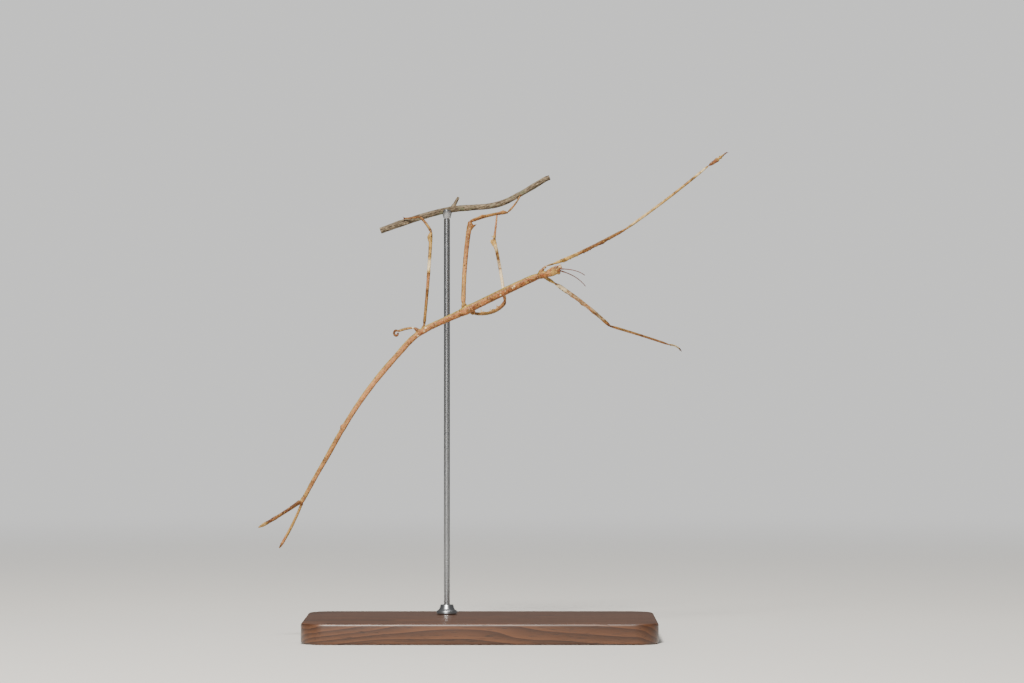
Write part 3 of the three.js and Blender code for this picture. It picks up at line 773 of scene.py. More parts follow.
# ---- skin ----
# Colours laid over the skin's ground where a value is set: value, colour, scale and
# raggedness of the edge, and strength. The last one comes over the flecks.
STAINS = (
    # On the legs, the flank and rust values carry a painted highlight and painted shade, and
    # dark carries painted shade under the white of one femur.
    ("flank", "olive", 1.3, 0.7, 0.85), ("straw", "straw", 0.9, 1.1, 0.9),
    ("rust", "rust", 1.2, 1.1, 0.9), ("pale", "pale", 1.1, 1.1, 0.9),
    ("white", "white", 1.0, 1.1, 0.9), ("dark", "dark", 1.6, 0.9, 0.8),
)
# Cloudy flecks: colour, streaked or not, scale, where the noise starts and is full, strength.
FLECKS = (
    ("brown", True, 0.9, 0.47, 0.62, 0.75), ("dark", False, 1.5, 0.54, 0.65, 0.85),
    ("brown", False, 4.5, 0.5, 0.7, 0.35),
)
SPECKS = ((1.1, 0.5, 0.72, 0.5), (4.0, 0.54, 0.7, 0.3))  # as flecks, in straw
GROUND, FINE = (0.55, 0.34, 0.66), (1.5, 0.35, 0.68)  # clouds: scale, start and full
STREAK = (0.35, 1.0, 1.0)  # streaks are drawn out along a part
RED_WEAR = (0.8, 0.25)  # strength of the salmon outside the fine clouds and in them
LIGHT_SHARE, TOPS_SHARE = 0.7, 0.28  # strength of the light lengths and of the pale tops
BRIGHT_SHARE = 0.7  # how far the white and light lengths count as pale
FEW_FLECKS = 0.15  # share of the flecks that is left where the skin is pale
ROUGHNESS = (0.48, 0.66)  # outside the fine clouds and in them
SKIN_GRAIN = (5.0, 0.6)  # scale, and weight of the grains beside the clouds


def skin_material(colours):
    material, tree, shader = new_material("Insect skin", {"Specular IOR Level": 0.24})
    lie = attribute(tree, "lie", "Vector")
    streaks = stretched(tree, lie, *STREAK)
    value = {kind: attribute(tree, kind) for kind in SKIN_VALUES}
    fine = mottle(tree, lie, *FINE)
    cloudy = mottle(tree, streaks, *GROUND)
    colour = mixed(tree, cloudy, colours.tan, colours.brown)
    thorax = times(tree, value["thorax"], between(tree, fine, *RED_WEAR))
    colour = mixed(tree, thorax, colour, colours.salmon)
    colour = laid(tree, colour, colours.peach, value["light"], LIGHT_SHARE)

    def stained(colour, kind, shade, scale, raggedness, strength):
        mask = ragged(tree, value[kind], streaks, scale, raggedness)
        return laid(tree, colour, getattr(colours, shade), mask, strength)

    for stain in STAINS[:-1]:
        colour = stained(colour, *stain)
    bright = value["pale"]
    for kind in ("white", "light"):
        share = times(tree, value[kind], BRIGHT_SHARE)
        bright = math_node(tree, "MAXIMUM", bright, share)
    left = between(tree, bright, 1.0, FEW_FLECKS)
    for shade, streaked, *noise_form, strength in FLECKS:
        flecks = mottle(tree, streaks if streaked else lie, *noise_form)
        few = times(tree, flecks, strength)
        colour = laid(tree, colour, getattr(colours, shade), few, left)
    colour = laid(tree, colour, colours.pale, value["tops"], TOPS_SHARE)
    for *noise_form, strength in SPECKS:
        specks = mottle(tree, lie, *noise_form, detail=2.0)
        colour = laid(tree, colour, colours.straw, specks, strength)
    colour = stained(colour, *STAINS[-1])
    height = grain(tree, lie, *SKIN_GRAIN)
    rough = between(tree, fine, *ROUGHNESS)
    wire(tree, shader, colour, rough, height, strength=0.45, depth=0.06)
    return material


# Sizes of the plugs that join two solids, as shares of the radius where they meet.
BODY_PLUG, CERCUS_PLUG, HIP_PLUG, LEG_PLUG = 0.97, 0.8, 0.78, 0.9


def part_pairs():
    """Pairs of neighbouring solids, with their plug's size."""
    for pair in zip(BODY, BODY[1:]):
        yield *pair, BODY_PLUG
    for name in CERCI:
        yield BODY[-1], name, CERCUS_PLUG
    for leg, (root, _) in LEGS.items():
        names = leg_solids(leg)
        yield root, names[0], HIP_PLUG
        for pair in zip(names, names[1:]):
            yield *pair, LEG_PLUG


def joined_flesh():
    """The solids of body and legs with plugs across their gaps and thorns on them."""
    shape = bmesh.new()
    for name in FLESH:
        part = solid(name)
        if name.endswith("tarsus"):
            length = LENGTHS[name]
            shorten = Matrix.Scale(FOOT_SHARE, 4, length.along)
            bmesh.ops.transform(
                part, matrix=shorten, verts=part.verts, space=Matrix.Translation(-length.start)
            )
        mesh = to_mesh(name, part)
        shape.from_mesh(mesh)
        bpy.data.meshes.remove(mesh)
    for first, second, share in part_pairs():
        middle, radius = meeting(first, second)
        place = Matrix.Translation(middle)
        bmesh.ops.create_icosphere(shape, subdivisions=2, radius=radius * share, matrix=place)
    for name, shares, turn, height, radius in THORNS:
        length = LENGTHS[name]
        way = (length.way(turn) + length.along * LEANS.get(name, 0.0)).normalized()
        for share in shares:
            spike(shape, length.on_skin(share, turn), way, height, radius)
    return shape


def remeshed(shape, voxel):
    """One closed skin round all the shells of a shape."""
    shells = placed("shells", to_mesh("shells", shape))
    remesh = shells.modifiers.new("skin", "REMESH")
    remesh.mode = "VOXEL"
    remesh.voxel_size = voxel
    graph = bpy.context.evaluated_depsgraph_get()
    skin = bpy.data.meshes.new_from_object(shells.evaluated_get(graph))
    result = bmesh.new()
    result.from_mesh(skin)
    bpy.data.objects.remove(shells)
    bpy.data.meshes.remove(skin)
    return result


def flesh_finder():
    """A search tree over all flesh solids, and the solid that each of its faces is from."""
    points, faces, owners = [], [], []
    for name in FLESH:
        shape = solid(name)
        first = len(points)
        points += [vert.co.copy() for vert in shape.verts]
        faces += [[first + vert.index for vert in face.verts] for face in shape.faces]
        owners += [name] * len(shape.faces)
        shape.free()
    return BVHTree.FromPolygons(points, faces), owners


def box_middle(name):
    return sum(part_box(name), Vector()) * (PER_METRE / 2)


EYE_CENTRES = [box_middle(name) for name in EYES]

# Ridges and folds of the skin: height in mm, place and half width. Where they lie by the
# distance from something, place and width are in mm; where they lie by how far the skin
# faces the back (up) or the side (left), they are between -1 and 1.
EYE_RIM = (0.14, 1.17, 0.2)
EYE_GROOVE = (-0.1, 1.55, 0.18)
CROWN_FURROW = (-0.04, 0, 0.16)
FURROW_UP, FURROW_ALONG = (0.2, 0.8), (0.1, 0.3)  # from none to full
ARCH, ARCH_BOW, ARCH_UP = (-0.07, 0.42, 0.05), 0.1, (0.3, 0.8)  # a bowed fold on the crown
CHEEK, CHEEK_ALONG = (0.08, 0.85, 0.16), (0.62, 0.25)
RING_CREASE = (0, 0.38)  # by the distance from the nearer end of a ring
BACK_RIM = (0.03, 1.0, 0.55)  # by the distance from a ring's hind end
RING_FLARE = (0.13, 0, 0.9)  # by the distance from the nearer end
BACK_KEEL, KEEL_UP = (0.09, 0, 0.14), (0.3, 0.9)
SIDE_KEEL, SIDE_UP = (0.09, 0.98, 0.06), (0, 0.25)
BELLY_SEAM = (-0.06, -0.45, 0.09)
CERCUS_RIB = (0.07, 0, 0.2)
JOINT_FOLD = (-0.05, 0, 0.3)  # by the distance from the nearer end of a leg's part
TOE_JOINTS = (0.55, 0.71, 0.82, 0.9)  # shares of a foot where its pieces meet
TOE_FOLD = (0.12, 0.22)  # depth and half width
# Grains: how many to a millimetre, and their size as a share of their distance.
THORAX_GRAINS, OTHER_GRAINS, FINE_GRAINS = (0.95, 0.42), (1.4, 0.36), (2.1, 0.42)
BELLY_GRAIN, GRAIN_UP = 0.45, (-0.3, 0.4)  # the grains are lower underneath
LEG_RIDGES = 4


def bump(value, height, place, width):
    """A rounded ridge, or a fold where the height is below 0."""
    return height * bell(value, place, width)


def grains(spot, frequency, size):
    """Domes of one height at scattered places."""
    gap = noise.voronoi(spot * frequency)[0][0]
    dome = max(0.0, 1 - (gap / size) ** 2)
    return dome * dome


def main_grains(length, spot):
    """The larger grains of a part, which also have paler tops."""
    form = THORAX_GRAINS if length.name.endswith("thorax") else OTHER_GRAINS
    return grains(spot, *form)


def eye_distance(spot):
    return min((spot - eye).length for eye in EYE_CENTRES)


def head_relief(share, up, left, spot):
    away = eye_distance(spot)
    rim = bump(away, *EYE_RIM) + bump(away, *EYE_GROOVE)
    furrow = bump(left, *CROWN_FURROW) * ease(*FURROW_UP, up) * ease(*FURROW_ALONG, share)
    depth, place, width = ARCH
    arch = bump(share, depth, place + ARCH_BOW * abs(left), width) * ease(*ARCH_UP, up)
    cheek = bump(abs(left), *CHEEK) * bell(share, *CHEEK_ALONG)
    return rim + furrow + arch + cheek


def body_relief(length, share, up, left, spot, sizes):
    inset = min(share, 1 - share) * length.size
    height = bump((1 - share) * length.size, *BACK_RIM)
    height -= sizes.crease * bell(inset, *RING_CREASE)
    keel = bump(left, *BACK_KEEL) * ease(*KEEL_UP, up)
    edge = bump(abs(left), *SIDE_KEEL) * bell(up, *SIDE_UP)
    if length.name.endswith("thorax"):
        grainy = sizes.granule * (BELLY_GRAIN + (1 - BELLY_GRAIN) * ease(*GRAIN_UP, up))
        height += grainy * (main_grains(length, spot) + 0.35 * grains(spot, *FINE_GRAINS))
        return height + keel + 0.5 * edge
    height += bump(inset, *RING_FLARE)
    seam = bump(up, *BELLY_SEAM)
    return height + keel + edge + seam + 0.3 * sizes.granule * main_grains(length, spot)


def leg_relief(length, share, up, left, spot, sizes):
    height = bump(min(share, 1 - share) * length.size, *JOINT_FOLD)
    if length.name.endswith("tarsus"):
        depth, width = TOE_FOLD
        for joint in TOE_JOINTS:
            height -= depth * bell(share * length.size, joint * length.size * FOOT_SHARE, width)
        return height
    grainy = sizes.granule * main_grains(length, spot)
    if length.name.endswith("coxa"):
        return height + 0.6 * grainy
    ridge = max(0.0, math.cos(LEG_RIDGES * math.atan2(left, up))) ** 2
    wave = 0.5 + noise.noise(spot * 0.35)
    return height + sizes.keel * ridge * wave + 0.4 * grainy


def relief(length, share, up, left, spot, sizes):
    """How far the skin is raised at a spot, in millimetres."""
    if length.name == "head":
        return head_relief(share, up, left, spot) + 0.06 * main_grains(length, spot)
    if length.name in BODY:
        return body_relief(length, share, up, left, spot, sizes)
    if length.name in CERCI:
        return bump(left, *CERCUS_RIB) + 0.3 * sizes.granule * main_grains(length, spot)
    return leg_relief(length, share, up, left, spot, sizes)


# Colours along the body, by solids counted from the brow.
RED_END, RED_FADE = 3.2, 6.0  # where the salmon starts to fade, and over how many solids
LIGHT_MIDDLE, LIGHT_TAIL = (6.2, 2.6), (8.5, 10.5)  # place and half width; start and full
# Colours round the body, by how far the skin faces the back (up) or the side (left).
FLANK_LINE, FLANK_SIDE = (-0.1, 0.5), (0.5, 0.85)
TICK_SIDE, TICK_END = (0.92, 0.2), (0.4, 0.6)  # a dark tick at each ring's hind end
JOINT_DARK, LEG_DARK, JOINT_RUST = (0, 0.3), (0, 0.25), (0, 1.1)  # by mm from the end
# How far a leg's skin faces up or down where its painted highlight and painted shade start and
# are full.
LEG_LIGHT_FACING = (0.1, 0.9)


def general_marks(length, share, up, left):
    """Colouring that follows the build of the body, with a painted highlight on the legs' upper
    sides and painted shade under them: values of the masks between 0 and 1.
    """
    inset = min(share, 1 - share) * length.size
    marks = dict.fromkeys(SKIN_VALUES, 0.0)
    if length.name in BODY:
        along = BODY.index(length.name) + share
        marks["thorax"] = max(0.0, 1.0 - max(0.0, along - RED_END) / RED_FADE)
        marks["light"] = bell(along, *LIGHT_MIDDLE) + 0.5 * ease(*LIGHT_TAIL, along)
        marks["flank"] = 0.95 * bell(up, *FLANK_LINE) * ease(*FLANK_SIDE, abs(left))
        tick = bell(abs(left), *TICK_SIDE) * bell((1 - share) * length.size, *TICK_END)
        marks["dark"] = 0.2 * bell(inset, *JOINT_DARK) + 0.5 * tick
    elif length.name not in CERCI:
        # Painted shade: rust on the undersides of the legs, beside the real rust at the joints.
        painted_underside_shade = 0.32 * ease(*LEG_LIGHT_FACING, -up)
        marks["rust"] = max(0.5 * bell(inset, *JOINT_RUST), painted_underside_shade)
        marks["dark"] = 0.45 * bell(inset, *LEG_DARK)
        # Painted highlight: olive on the upper sides of the legs.
        marks["flank"] = 0.5 * ease(*LEG_LIGHT_FACING, up)
    return marks


# Marks of the head: ranges of up, left and share, with an eye's pale arc in mm from it. The arc
# is partly the eye's real pale rim and partly a painted highlight, so it lies on one side of
# the eye only.
BEHIND_SIDE, BEHIND_START, BEHIND_END = (0.88, 0.22), (0.34, 0.45), (0.85, 0.7)
BEHIND_UP, ARC, ARC_UP = (-0.5, -0.1), (1.2, 0.28), (0.35, -0.1)
CROWN_UP, CROWN_ALONG = (0.3, 0.75), (0.5, 0.4)


def head_marks(marks, share, up, left, spot):
    """A red-brown band behind each eye, an ochre crown, and a pale arc on one side of each eye
    that is partly its real pale rim and partly a painted highlight.
    """
    behind = bell(abs(left), *BEHIND_SIDE) * ease(*BEHIND_START, share)
    behind *= ease(*BEHIND_END, share) * ease(*BEHIND_UP, up)
    # Painted highlight as well as pale rim: the arc fades out on the other side of the eye.
    pale_rim_and_highlight = bell(eye_distance(spot), *ARC) * ease(*ARC_UP, up)
    crown = ease(*CROWN_UP, up) * bell(share, *CROWN_ALONG)
    marks.update(
        rust=max(0.5 * behind, 0.4 * ease(0.2, 0.05, share)), pale=pale_rim_and_highlight, white=0.8 * pale_rim_and_highlight,
        straw=0.8 * crown, flank=0.8 * ease(0.1, -0.4, up) * ease(0.2, 0.35, share),
        light=0.5 * ease(0.15, 0.35, share), thorax=0.7,
    )


def local_marks(marks, length, share, spot, spots):
    """Adds a solid's own bands and spots to its marks."""
    for kind, low, high, strength, blur in BANDS.get(length.name, ()):
        soft = blur / length.size / 2
        inside = ease(low - soft, low + soft, share)
        inside *= 1 - ease(high - soft, high + soft, share)
        if kind == "clear":
            marks.update((other, marks[other] * (1 - strength * inside)) for other in CLEARED)
        else:
            marks[kind] = max(marks[kind], strength * inside)
    for kind, centre, radius, strength in spots:
        marks[kind] = max(marks[kind], strength * bell((spot - centre).length, 0, radius))


FLAT_ROUNDS = 40  # of smoothing make a place flat
TOPS = (0.25, 0.75)  # heights of a grain where its pale top starts and is full


def write_skin(shape, sizes):
    """Raises the skin's relief and writes the values that its colours read."""
    for name, flats in FLATS.items():
        for share, turn, radius in flats:
            centre = LENGTHS[name].on_skin(share, turn)
            near = [vert for vert in shape.verts if (vert.co - centre).length < radius]
            smooth(shape, near, FLAT_ROUNDS)
    spots = {
        name: [
            (kind, LENGTHS[name].on_skin(share, turn), *size)
            for kind, share, turn, *size in rows
        ]
        for name, rows in SPOTS.items()
    }
    finder, owners = flesh_finder()
    lie = shape.verts.layers.float_vector.new("lie")
    layers = {kind: shape.verts.layers.float.new(kind) for kind in SKIN_VALUES}
    # Lengths run on from solid to solid, so that no pattern jumps at a joint.
    ends = itertools.accumulate(LENGTHS[name].size for name in FLESH)
    begins = {name: end - LENGTHS[name].size for name, end in zip(FLESH, ends)}
    shape.normal_update()
    heights = []
    for vert in shape.verts:
        spot, normal = vert.co, vert.normal
        length = LENGTHS[owners[finder.find_nearest(spot)[2]]]
        share = length.share(spot)
        travelled = share * length.size
        up, left = normal.dot(length.outer), normal.dot(length.side)
        marks = general_marks(length, share, up, left)
        if length.name == "head":
            head_marks(marks, share, up, left, spot)
        local_marks(marks, length, share, spot, spots.get(length.name, ()))
        marks["tops"] = ease(*TOPS, main_grains(length, spot))
        for kind, value in marks.items():
            vert[layers[kind]] = value
        off = spot - length.spot(share)
        vert[lie] = Vector((
            begins[length.name] + travelled, off.dot(length.side), off.dot(length.outer)
        ))
        height = relief(length, share, up, left, spot, sizes)
        for centre, change, width in SWELLS.get(length.name, ()):
            height += change * bell(travelled, centre * length.size, width)
        heights.append(height)
    for vert, height in zip(shape.verts, heights):
        vert.co += vert.normal * height


HEAD_LOW, HEAD_HIGH = -0.6, 0.98  # shares of the head between which faces are made smaller
HEAD_REACH = 5.2  # from the middle of the head, in millimetres


def refine_head(shape):
    """Smaller faces on the head."""
    head = LENGTHS["head"]
    edges = [
        edge for edge in shape.edges
        if all(
            HEAD_LOW < head.share(vert.co) < HEAD_HIGH
            and (vert.co - head.spot(0.5)).length < HEAD_REACH
            for vert in edge.verts
        )
    ]
    made = bmesh.ops.subdivide_edges(shape, edges=edges, cuts=1, use_grid_fill=True)
    fresh = [item for item in made["geom"] if isinstance(item, bmesh.types.BMVert)]
    smooth(shape, list(set(fresh)), 1)


PLUMPER = 0.03  # how far the skin grows, in millimetres, to make up for its smoothing
SKIN_ROUNDS = 2  # of smoothing take off the steps of the voxels


class INSECT_OT_skin(bpy.types.Operator):
    """Joins the body and legs into one skin, with its folds, grains, thorns and marks"""

    bl_idname = "insect.skin"
    bl_label = "Skin"

    def execute(self, context):
        sizes = context.scene.insect_sizes
        shape = remeshed(joined_flesh(), sizes.voxel)
        shape.normal_update()
        for vert in shape.verts:
            vert.co += vert.normal * PLUMPER
        smooth(shape, shape.verts, SKIN_ROUNDS)
        refine_head(shape)
        write_skin(shape, sizes)
        skin = skin_material(context.scene.insect_colours)
        finish("insect_skin", shape, [skin], "insect_skin", *FLESH)
        return {"FINISHED"}


# ---- eyes, mouth, feelers and claws ----
EYE_FACING = (0.36, 0.14)  # an eye's rim grows between these shares of facing outwards
EYE_PROUD = 1.02  # an eye's radius as a share of its solid's


def eye_material(colours):
    material, tree, shader = new_material(
        "Insect eye", {"Roughness": 0.3, "Specular IOR Level": 0.45}
    )
    place = object_mm(tree)
    colour = mixed(tree, mottle(tree, place, 2.6, 0.4, 0.7), colours.eye, colours.brown)
    edge = ragged(tree, attribute(tree, "rim"), place, 3.0, 0.25)
    colour = mixed(tree, edge, colour, colours.straw)
    facets = add(tree, "ShaderNodeTexVoronoi", {"Vector": place, "Scale": 14.0})
    wire(tree, shader, colour, height=facets, strength=0.12, depth=0.02)
    return material


class INSECT_OT_eyes(bpy.types.Operator):
    """Makes the two domed eyes, pale round the edge and dark in the middle"""

    bl_idname = "insect.eyes"
    bl_label = "Eyes"

    def execute(self, context):
        shape = bmesh.new()
        rim = shape.verts.layers.float.new("rim")
        head = LENGTHS["head"]
        for name, centre in zip(EYES, EYE_CENTRES):
            low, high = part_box(name)
            radius = (high - low).length * PER_METRE / (2 * math.sqrt(3)) * EYE_PROUD
            out = (centre - head.spot(head.share(centre))).normalized()
            ball = bmesh.ops.create_uvsphere(
                shape, u_segments=40, v_segments=24, radius=radius, matrix=pointed(centre, out)
            )["verts"]
            for vert in ball:
                vert[rim] = ease(*EYE_FACING, (vert.co - centre).normalized().dot(out))
        material = eye_material(context.scene.insect_colours)
        finish("insect_eyes", shape, [material], "insect_eye", *EYES)
        return {"FINISHED"}


BEAD_STEPS = 4  # sections of one bead
BEAD_SPREAD, BEAD_START = 1.2, 0.08  # a bead's swelling begins early and ends early
BEAD_TOP = Vector((0, 0.2, 1))
ROUND_END = ((0.12, 0.95), (0.03, 0.7), (0.0, 0.3))  # distance in mm from the tip, and size


def beaded(shape, points, radii, sides, swell):
    """A closed tube through points whose every length swells a little past its joint."""
    stations = []
    for place, (start, end) in enumerate(zip(points, points[1:])):
        along = end - start
        for step in range(BEAD_STEPS):
            share = step / BEAD_STEPS
            radius = radii[place] + (radii[place + 1] - radii[place]) * share
            radius *= 1 - swell + swell * math.sin(
                math.pi * min(1.0, share * BEAD_SPREAD + BEAD_START)
            )
            stations.append(station(start.lerp(end, share), along, BEAD_TOP, radius, radius))
    for back, size in ROUND_END:
        radius = radii[-1] * size
        spot = points[-1] - along.normalized() * back
        stations.append(station(spot, along, BEAD_TOP, radius, radius))
    tube(shape, stations, sides)


def horn_material(name, light, dark):
    """Smooth cuticle of the small parts, lighter in cloudy patches."""
    material, tree, shader = new_material(name, {"Specular IOR Level": 0.3})
    place = object_mm(tree)
    cloudy = mottle(tree, place, 1.6, 0.35, 0.7)
    colour = mixed(tree, cloudy, dark, light)
    height, rough = grain(tree, place, 6.0, 0.4), between(tree, cloudy, 0.4, 0.55)
    wire(tree, shader, colour, rough, height, strength=0.3, depth=0.03)
    return material


# The mouth, in millimetres: steps ahead, half width and half depth of the lip, then places
# to the side, ahead and down with a radius along a jaw, an outer and an inner palp.
LIP = (
    (-1.0, 0.85, 0.55), (-0.4, 0.95, 0.6), (0.1, 0.9, 0.5), (0.4, 0.7, 0.34), (0.52, 0.3, 0.12),
)
LIP_RISE = 0.25
JAW = ((0.7, -0.9, 0.1, 0.4), (0.62, -0.1, 0.3, 0.42), (0.24, 0.4, 0.42, 0.16))
OUTER_PALP = (
    (0.75, -0.8, 0.35, 0.14), (1.0, -0.2, 0.5, 0.15), (0.98, 0.25, 0.72, 0.15),
    (0.8, 0.55, 0.85, 0.14), (0.66, 0.72, 0.72, 0.1),
)
INNER_PALP = ((0.25, -0.7, 0.6, 0.12), (0.36, -0.1, 0.76, 0.13), (0.3, 0.3, 0.86, 0.1))
MOUTH_PAIRS = ((JAW, 12, 0.1), (OUTER_PALP, 10, 0.16), (INNER_PALP, 10, 0.16))  # sides, swell


class INSECT_OT_mouth(bpy.types.Operator):
    """Makes the lip, jaws and palps under the front of the head"""

    bl_idname = "insect.mouth"
    bl_label = "Mouthparts"

    def execute(self, context):
        colours = context.scene.insect_colours
        head = LENGTHS["head"]
        middle = box_middle("mouthparts")
        ahead, down = -head.along, -head.outer
        shape = bmesh.new()
        tube(shape, [
            station(middle + ahead * step - down * LIP_RISE, ahead, -down, wide, deep)
            for step, wide, deep in LIP
        ], 20)
        for side in (head.side, -head.side):
            for form, sides, swell in MOUTH_PAIRS:
                points = [
                    middle + side * wide + ahead * step + down * drop
                    for wide, step, drop, _ in form
                ]
                beaded(shape, points, [row[-1] for row in form], sides, swell)
        material = horn_material("Mouth horn", colours.pale, colours.tan)
        finish("insect_mouthparts", shape, [material], "insect_pale_skin", "mouthparts")
        return {"FINISHED"}


def cross_section(name, spot, along, top):
    """The centre and mean radius of a solid's cut by a plane."""
    shape = solid(name)
    cut = bmesh.ops.bisect_plane(
        shape, geom=shape.verts[:] + shape.edges[:] + shape.faces[:], dist=1e-5,
        plane_co=spot, plane_no=along,
    )["geom_cut"]
    points = [item.co - spot for item in cut if isinstance(item, bmesh.types.BMVert)]
    shape.free()
    top = square_to(top, along)
    centre, radius = spot.copy(), 0.0
    for way in (along.cross(top), top):
        reach = [point.dot(way) for point in points]
        centre += way * (min(reach) + max(reach)) / 2
        radius += (max(reach) - min(reach)) / 4
    return centre, radius


CUT_INSET = 0.02  # share of a bent solid that is left before its first cut and after its last


def centre_line(name, start, end, count):
    """Centres and radii of a bent solid's cuts from near its start to near its end."""
    along = (end - start).normalized()
    cuts = []
    for step in range(count):
        share = CUT_INSET + (1 - 2 * CUT_INSET) * step / (count - 1)
        cuts.append(cross_section(name, start.lerp(end, share), along, UP))
    centres = [start] + [centre for centre, _ in cuts] + [end]
    radii = [cuts[0][1]] + [radius for _, radius in cuts] + [cuts[-1][1]]
    return centres, radii


SCAPE_RINGS, SCAPE = 3, 1.1  # the thicker rings at a feeler's root, and their radius
WHIP_ROOT, WHIP_TAPER = 0.88, 0.14  # radius of the rest, as shares of the solid's
ROOT_DEPTH = 0.5  # of a feeler in the head, in millimetres


def feeler_share(place, count):
    """Radius of a feeler's ring, as a share of its solid's."""
    return SCAPE if place < SCAPE_RINGS else WHIP_ROOT - WHIP_TAPER * place / count


class INSECT_OT_feelers(bpy.types.Operator):
    """Makes the two beaded feelers"""

    bl_idname = "insect.feelers"
    bl_label = "Feelers"

    def execute(self, context):
        colours = context.scene.insect_colours
        count = context.scene.insect_sizes.feeler_rings
        shape = bmesh.new()
        for name in FEELERS:
            root = meeting("head", name)[0]
            centres, radii = centre_line(name, root, tip(name, root), count)
            centres[0] = root - (centres[2] - root).normalized() * ROOT_DEPTH
            sizes = [
                radius * feeler_share(place, len(radii)) for place, radius in enumerate(radii)
            ]
            beaded(shape, centres, sizes, 14, 0.14)
        material = horn_material("Feeler horn", colours.feeler, colours.brown)
        finish("insect_feelers", shape, [material], "insect_red_skin", *FEELERS)
        return {"FINISHED"}


HOOK_STEPS, HOOK_TURN = 8, math.radians(11)  # sections of a claw, and its turn at each
CLAW_SPREAD = 0.5  # sideways for 1 ahead
CLAW_GAP, CLAW_RADIUS = 0.22, 0.2  # in millimetres, as are the pad's sizes
CLAW_TAPER, CLAW_CURVE, CLAW_DEPTH = 0.9, 1.3, 0.75  # thinner by, how late, depth to width
PAD_AHEAD, PAD_DOWN, PAD_RADIUS = 0.35, 0.12, 0.36


def hook(shape, start, ahead, down, length):
    """A claw that leaves ahead and curls down."""
    spot, way, stations = start.copy(), ahead.copy(), []
    side = ahead.cross(down).normalized()
    for step in range(HOOK_STEPS + 1):
        size = CLAW_RADIUS * (1.0 - CLAW_TAPER * (step / HOOK_STEPS) ** CLAW_CURVE)
        stations.append(station(spot, way, side, size, size * CLAW_DEPTH))
        spot = spot + way * (length / HOOK_STEPS)
        way = (Matrix.Rotation(HOOK_TURN, 3, side) @ way).normalized()
    tube(shape, stations, 10)


class INSECT_OT_claws(bpy.types.Operator):
    """Makes two hooked claws and a pad at the end of each foot"""

    bl_idname = "insect.claws"
    bl_label = "Claws"

    def execute(self, context):
        colours = context.scene.insect_colours
        size = context.scene.insect_sizes.claw
        shape = bmesh.new()
        for leg in LEGS:
            name = f"{leg}_tarsus"
            if name not in LENGTHS:
                continue
            foot = LENGTHS[name]
            root = foot.spot(FOOT_SHARE - 0.02)
            sole = -foot.outer
            for side in (foot.side, -foot.side):
                ahead = (foot.along + side * CLAW_SPREAD).normalized()
                hook(shape, root + side * CLAW_GAP, ahead, sole, size)
            pad = pointed(root + foot.along * PAD_AHEAD + sole * PAD_DOWN, foot.along)
            bmesh.ops.create_icosphere(shape, subdivisions=3, radius=PAD_RADIUS, matrix=pad)
        face_outward(shape)
        material = horn_material("Claw horn", colours.rust, colours.claw)
        finish("insect_claws", shape, [material], "insect_red_skin")
        return {"FINISHED"}


# ---- perch ----
def bark_material(finishes):
    material, tree, shader = new_material("Twig bark", {"Specular IOR Level": 0.3})
    lie = attribute(tree, "lie", "Vector")
    ridges = mottle(tree, stretched(tree, lie, 0.22, 1.0, 1.0), 2.2, 0.36, 0.62, 5.0)
    patches = mottle(tree, stretched(tree, lie, 0.1, 0.4, 0.4), 1.0, 0.35, 0.7)
    colour = mixed(tree, ridges, finishes.furrow, finishes.bark)
    colour = laid(tree, colour, finishes.furrow, patches, 0.45)
    colour = laid(tree, colour, finishes.moss, mottle(tree, lie, 0.35, 0.56, 0.7), 0.35)
    colour = mixed(tree, attribute(tree, "pore"), colour, finishes.pore)
    rough = between(tree, ridges, 0.92, 0.78)
    wire(tree, shader, colour, rough, ridges, strength=0.8, depth=0.12)
    return material


def cut_material(finishes):
    """The pale, ringed wood of a cut end."""
    material, tree, shader = new_material("Cut wood", {"Roughness": 0.75})
    radius = attribute(tree, "radius")
    rings = math_node(tree, "SINE", times(tree, radius, 26.0))
    rings = math_node(tree, "MULTIPLY_ADD", rings, 0.25, 0.3)
    colour = mixed(tree, rings, finishes.heartwood, finishes.bark)
    colour = mixed(tree, eased(tree, radius, 0.86, 0.95), colour, finishes.furrow)
    wire(tree, shader, colour, height=rings, strength=0.4, depth=0.05)
    return material


PORES = 26  # pale pores along the twig
PORE_LENGTH, PORE_DRIFT, PORE_TURN = 96, 2, 2.4  # mm that they share, mm, and radians
PORE_RISE, PORE_LONG, PORE_WIDE = 0.14, 0.32, 0.2  # in millimetres
# Relief of the bark: height in mm, then how often it changes along and round the twig.
FURROWS, FINE_FURROWS = (0.16, 0.16, 1.5), (0.06, 0.7, 3.5)
LUMPS = (0.12, 0.12)
CUT_RINGS = (0.96, 0.7, 0.35, 0.08)  # radii of a level cut end, as shares of the twig's


def bark_height(travelled, around, offset):
    """The height of the bark's furrows and lumps at a place."""
    height = 0.0
    for rise, often_along, often_round in (FURROWS, FINE_FURROWS):
        place = Vector((travelled * often_along, *(around * often_round)))
        height += rise * noise.noise(place)
    rise, often = LUMPS
    return height + rise * noise.noise(Vector((travelled * often, offset, 0.0)))


def pore_strength(travelled, angle, radius):
    """Yields how near each pore is: 1 in its middle and 0 outside it."""
    for number in range(PORES):
        turn = number * PORE_TURN
        spot = (number + 0.5) * PORE_LENGTH / PORES + PORE_DRIFT * math.sin(turn)
        wide = math.remainder(angle - turn, 2 * math.pi) * radius
        yield bell(travelled, spot, PORE_LONG) * bell(wide, 0, PORE_WIDE)


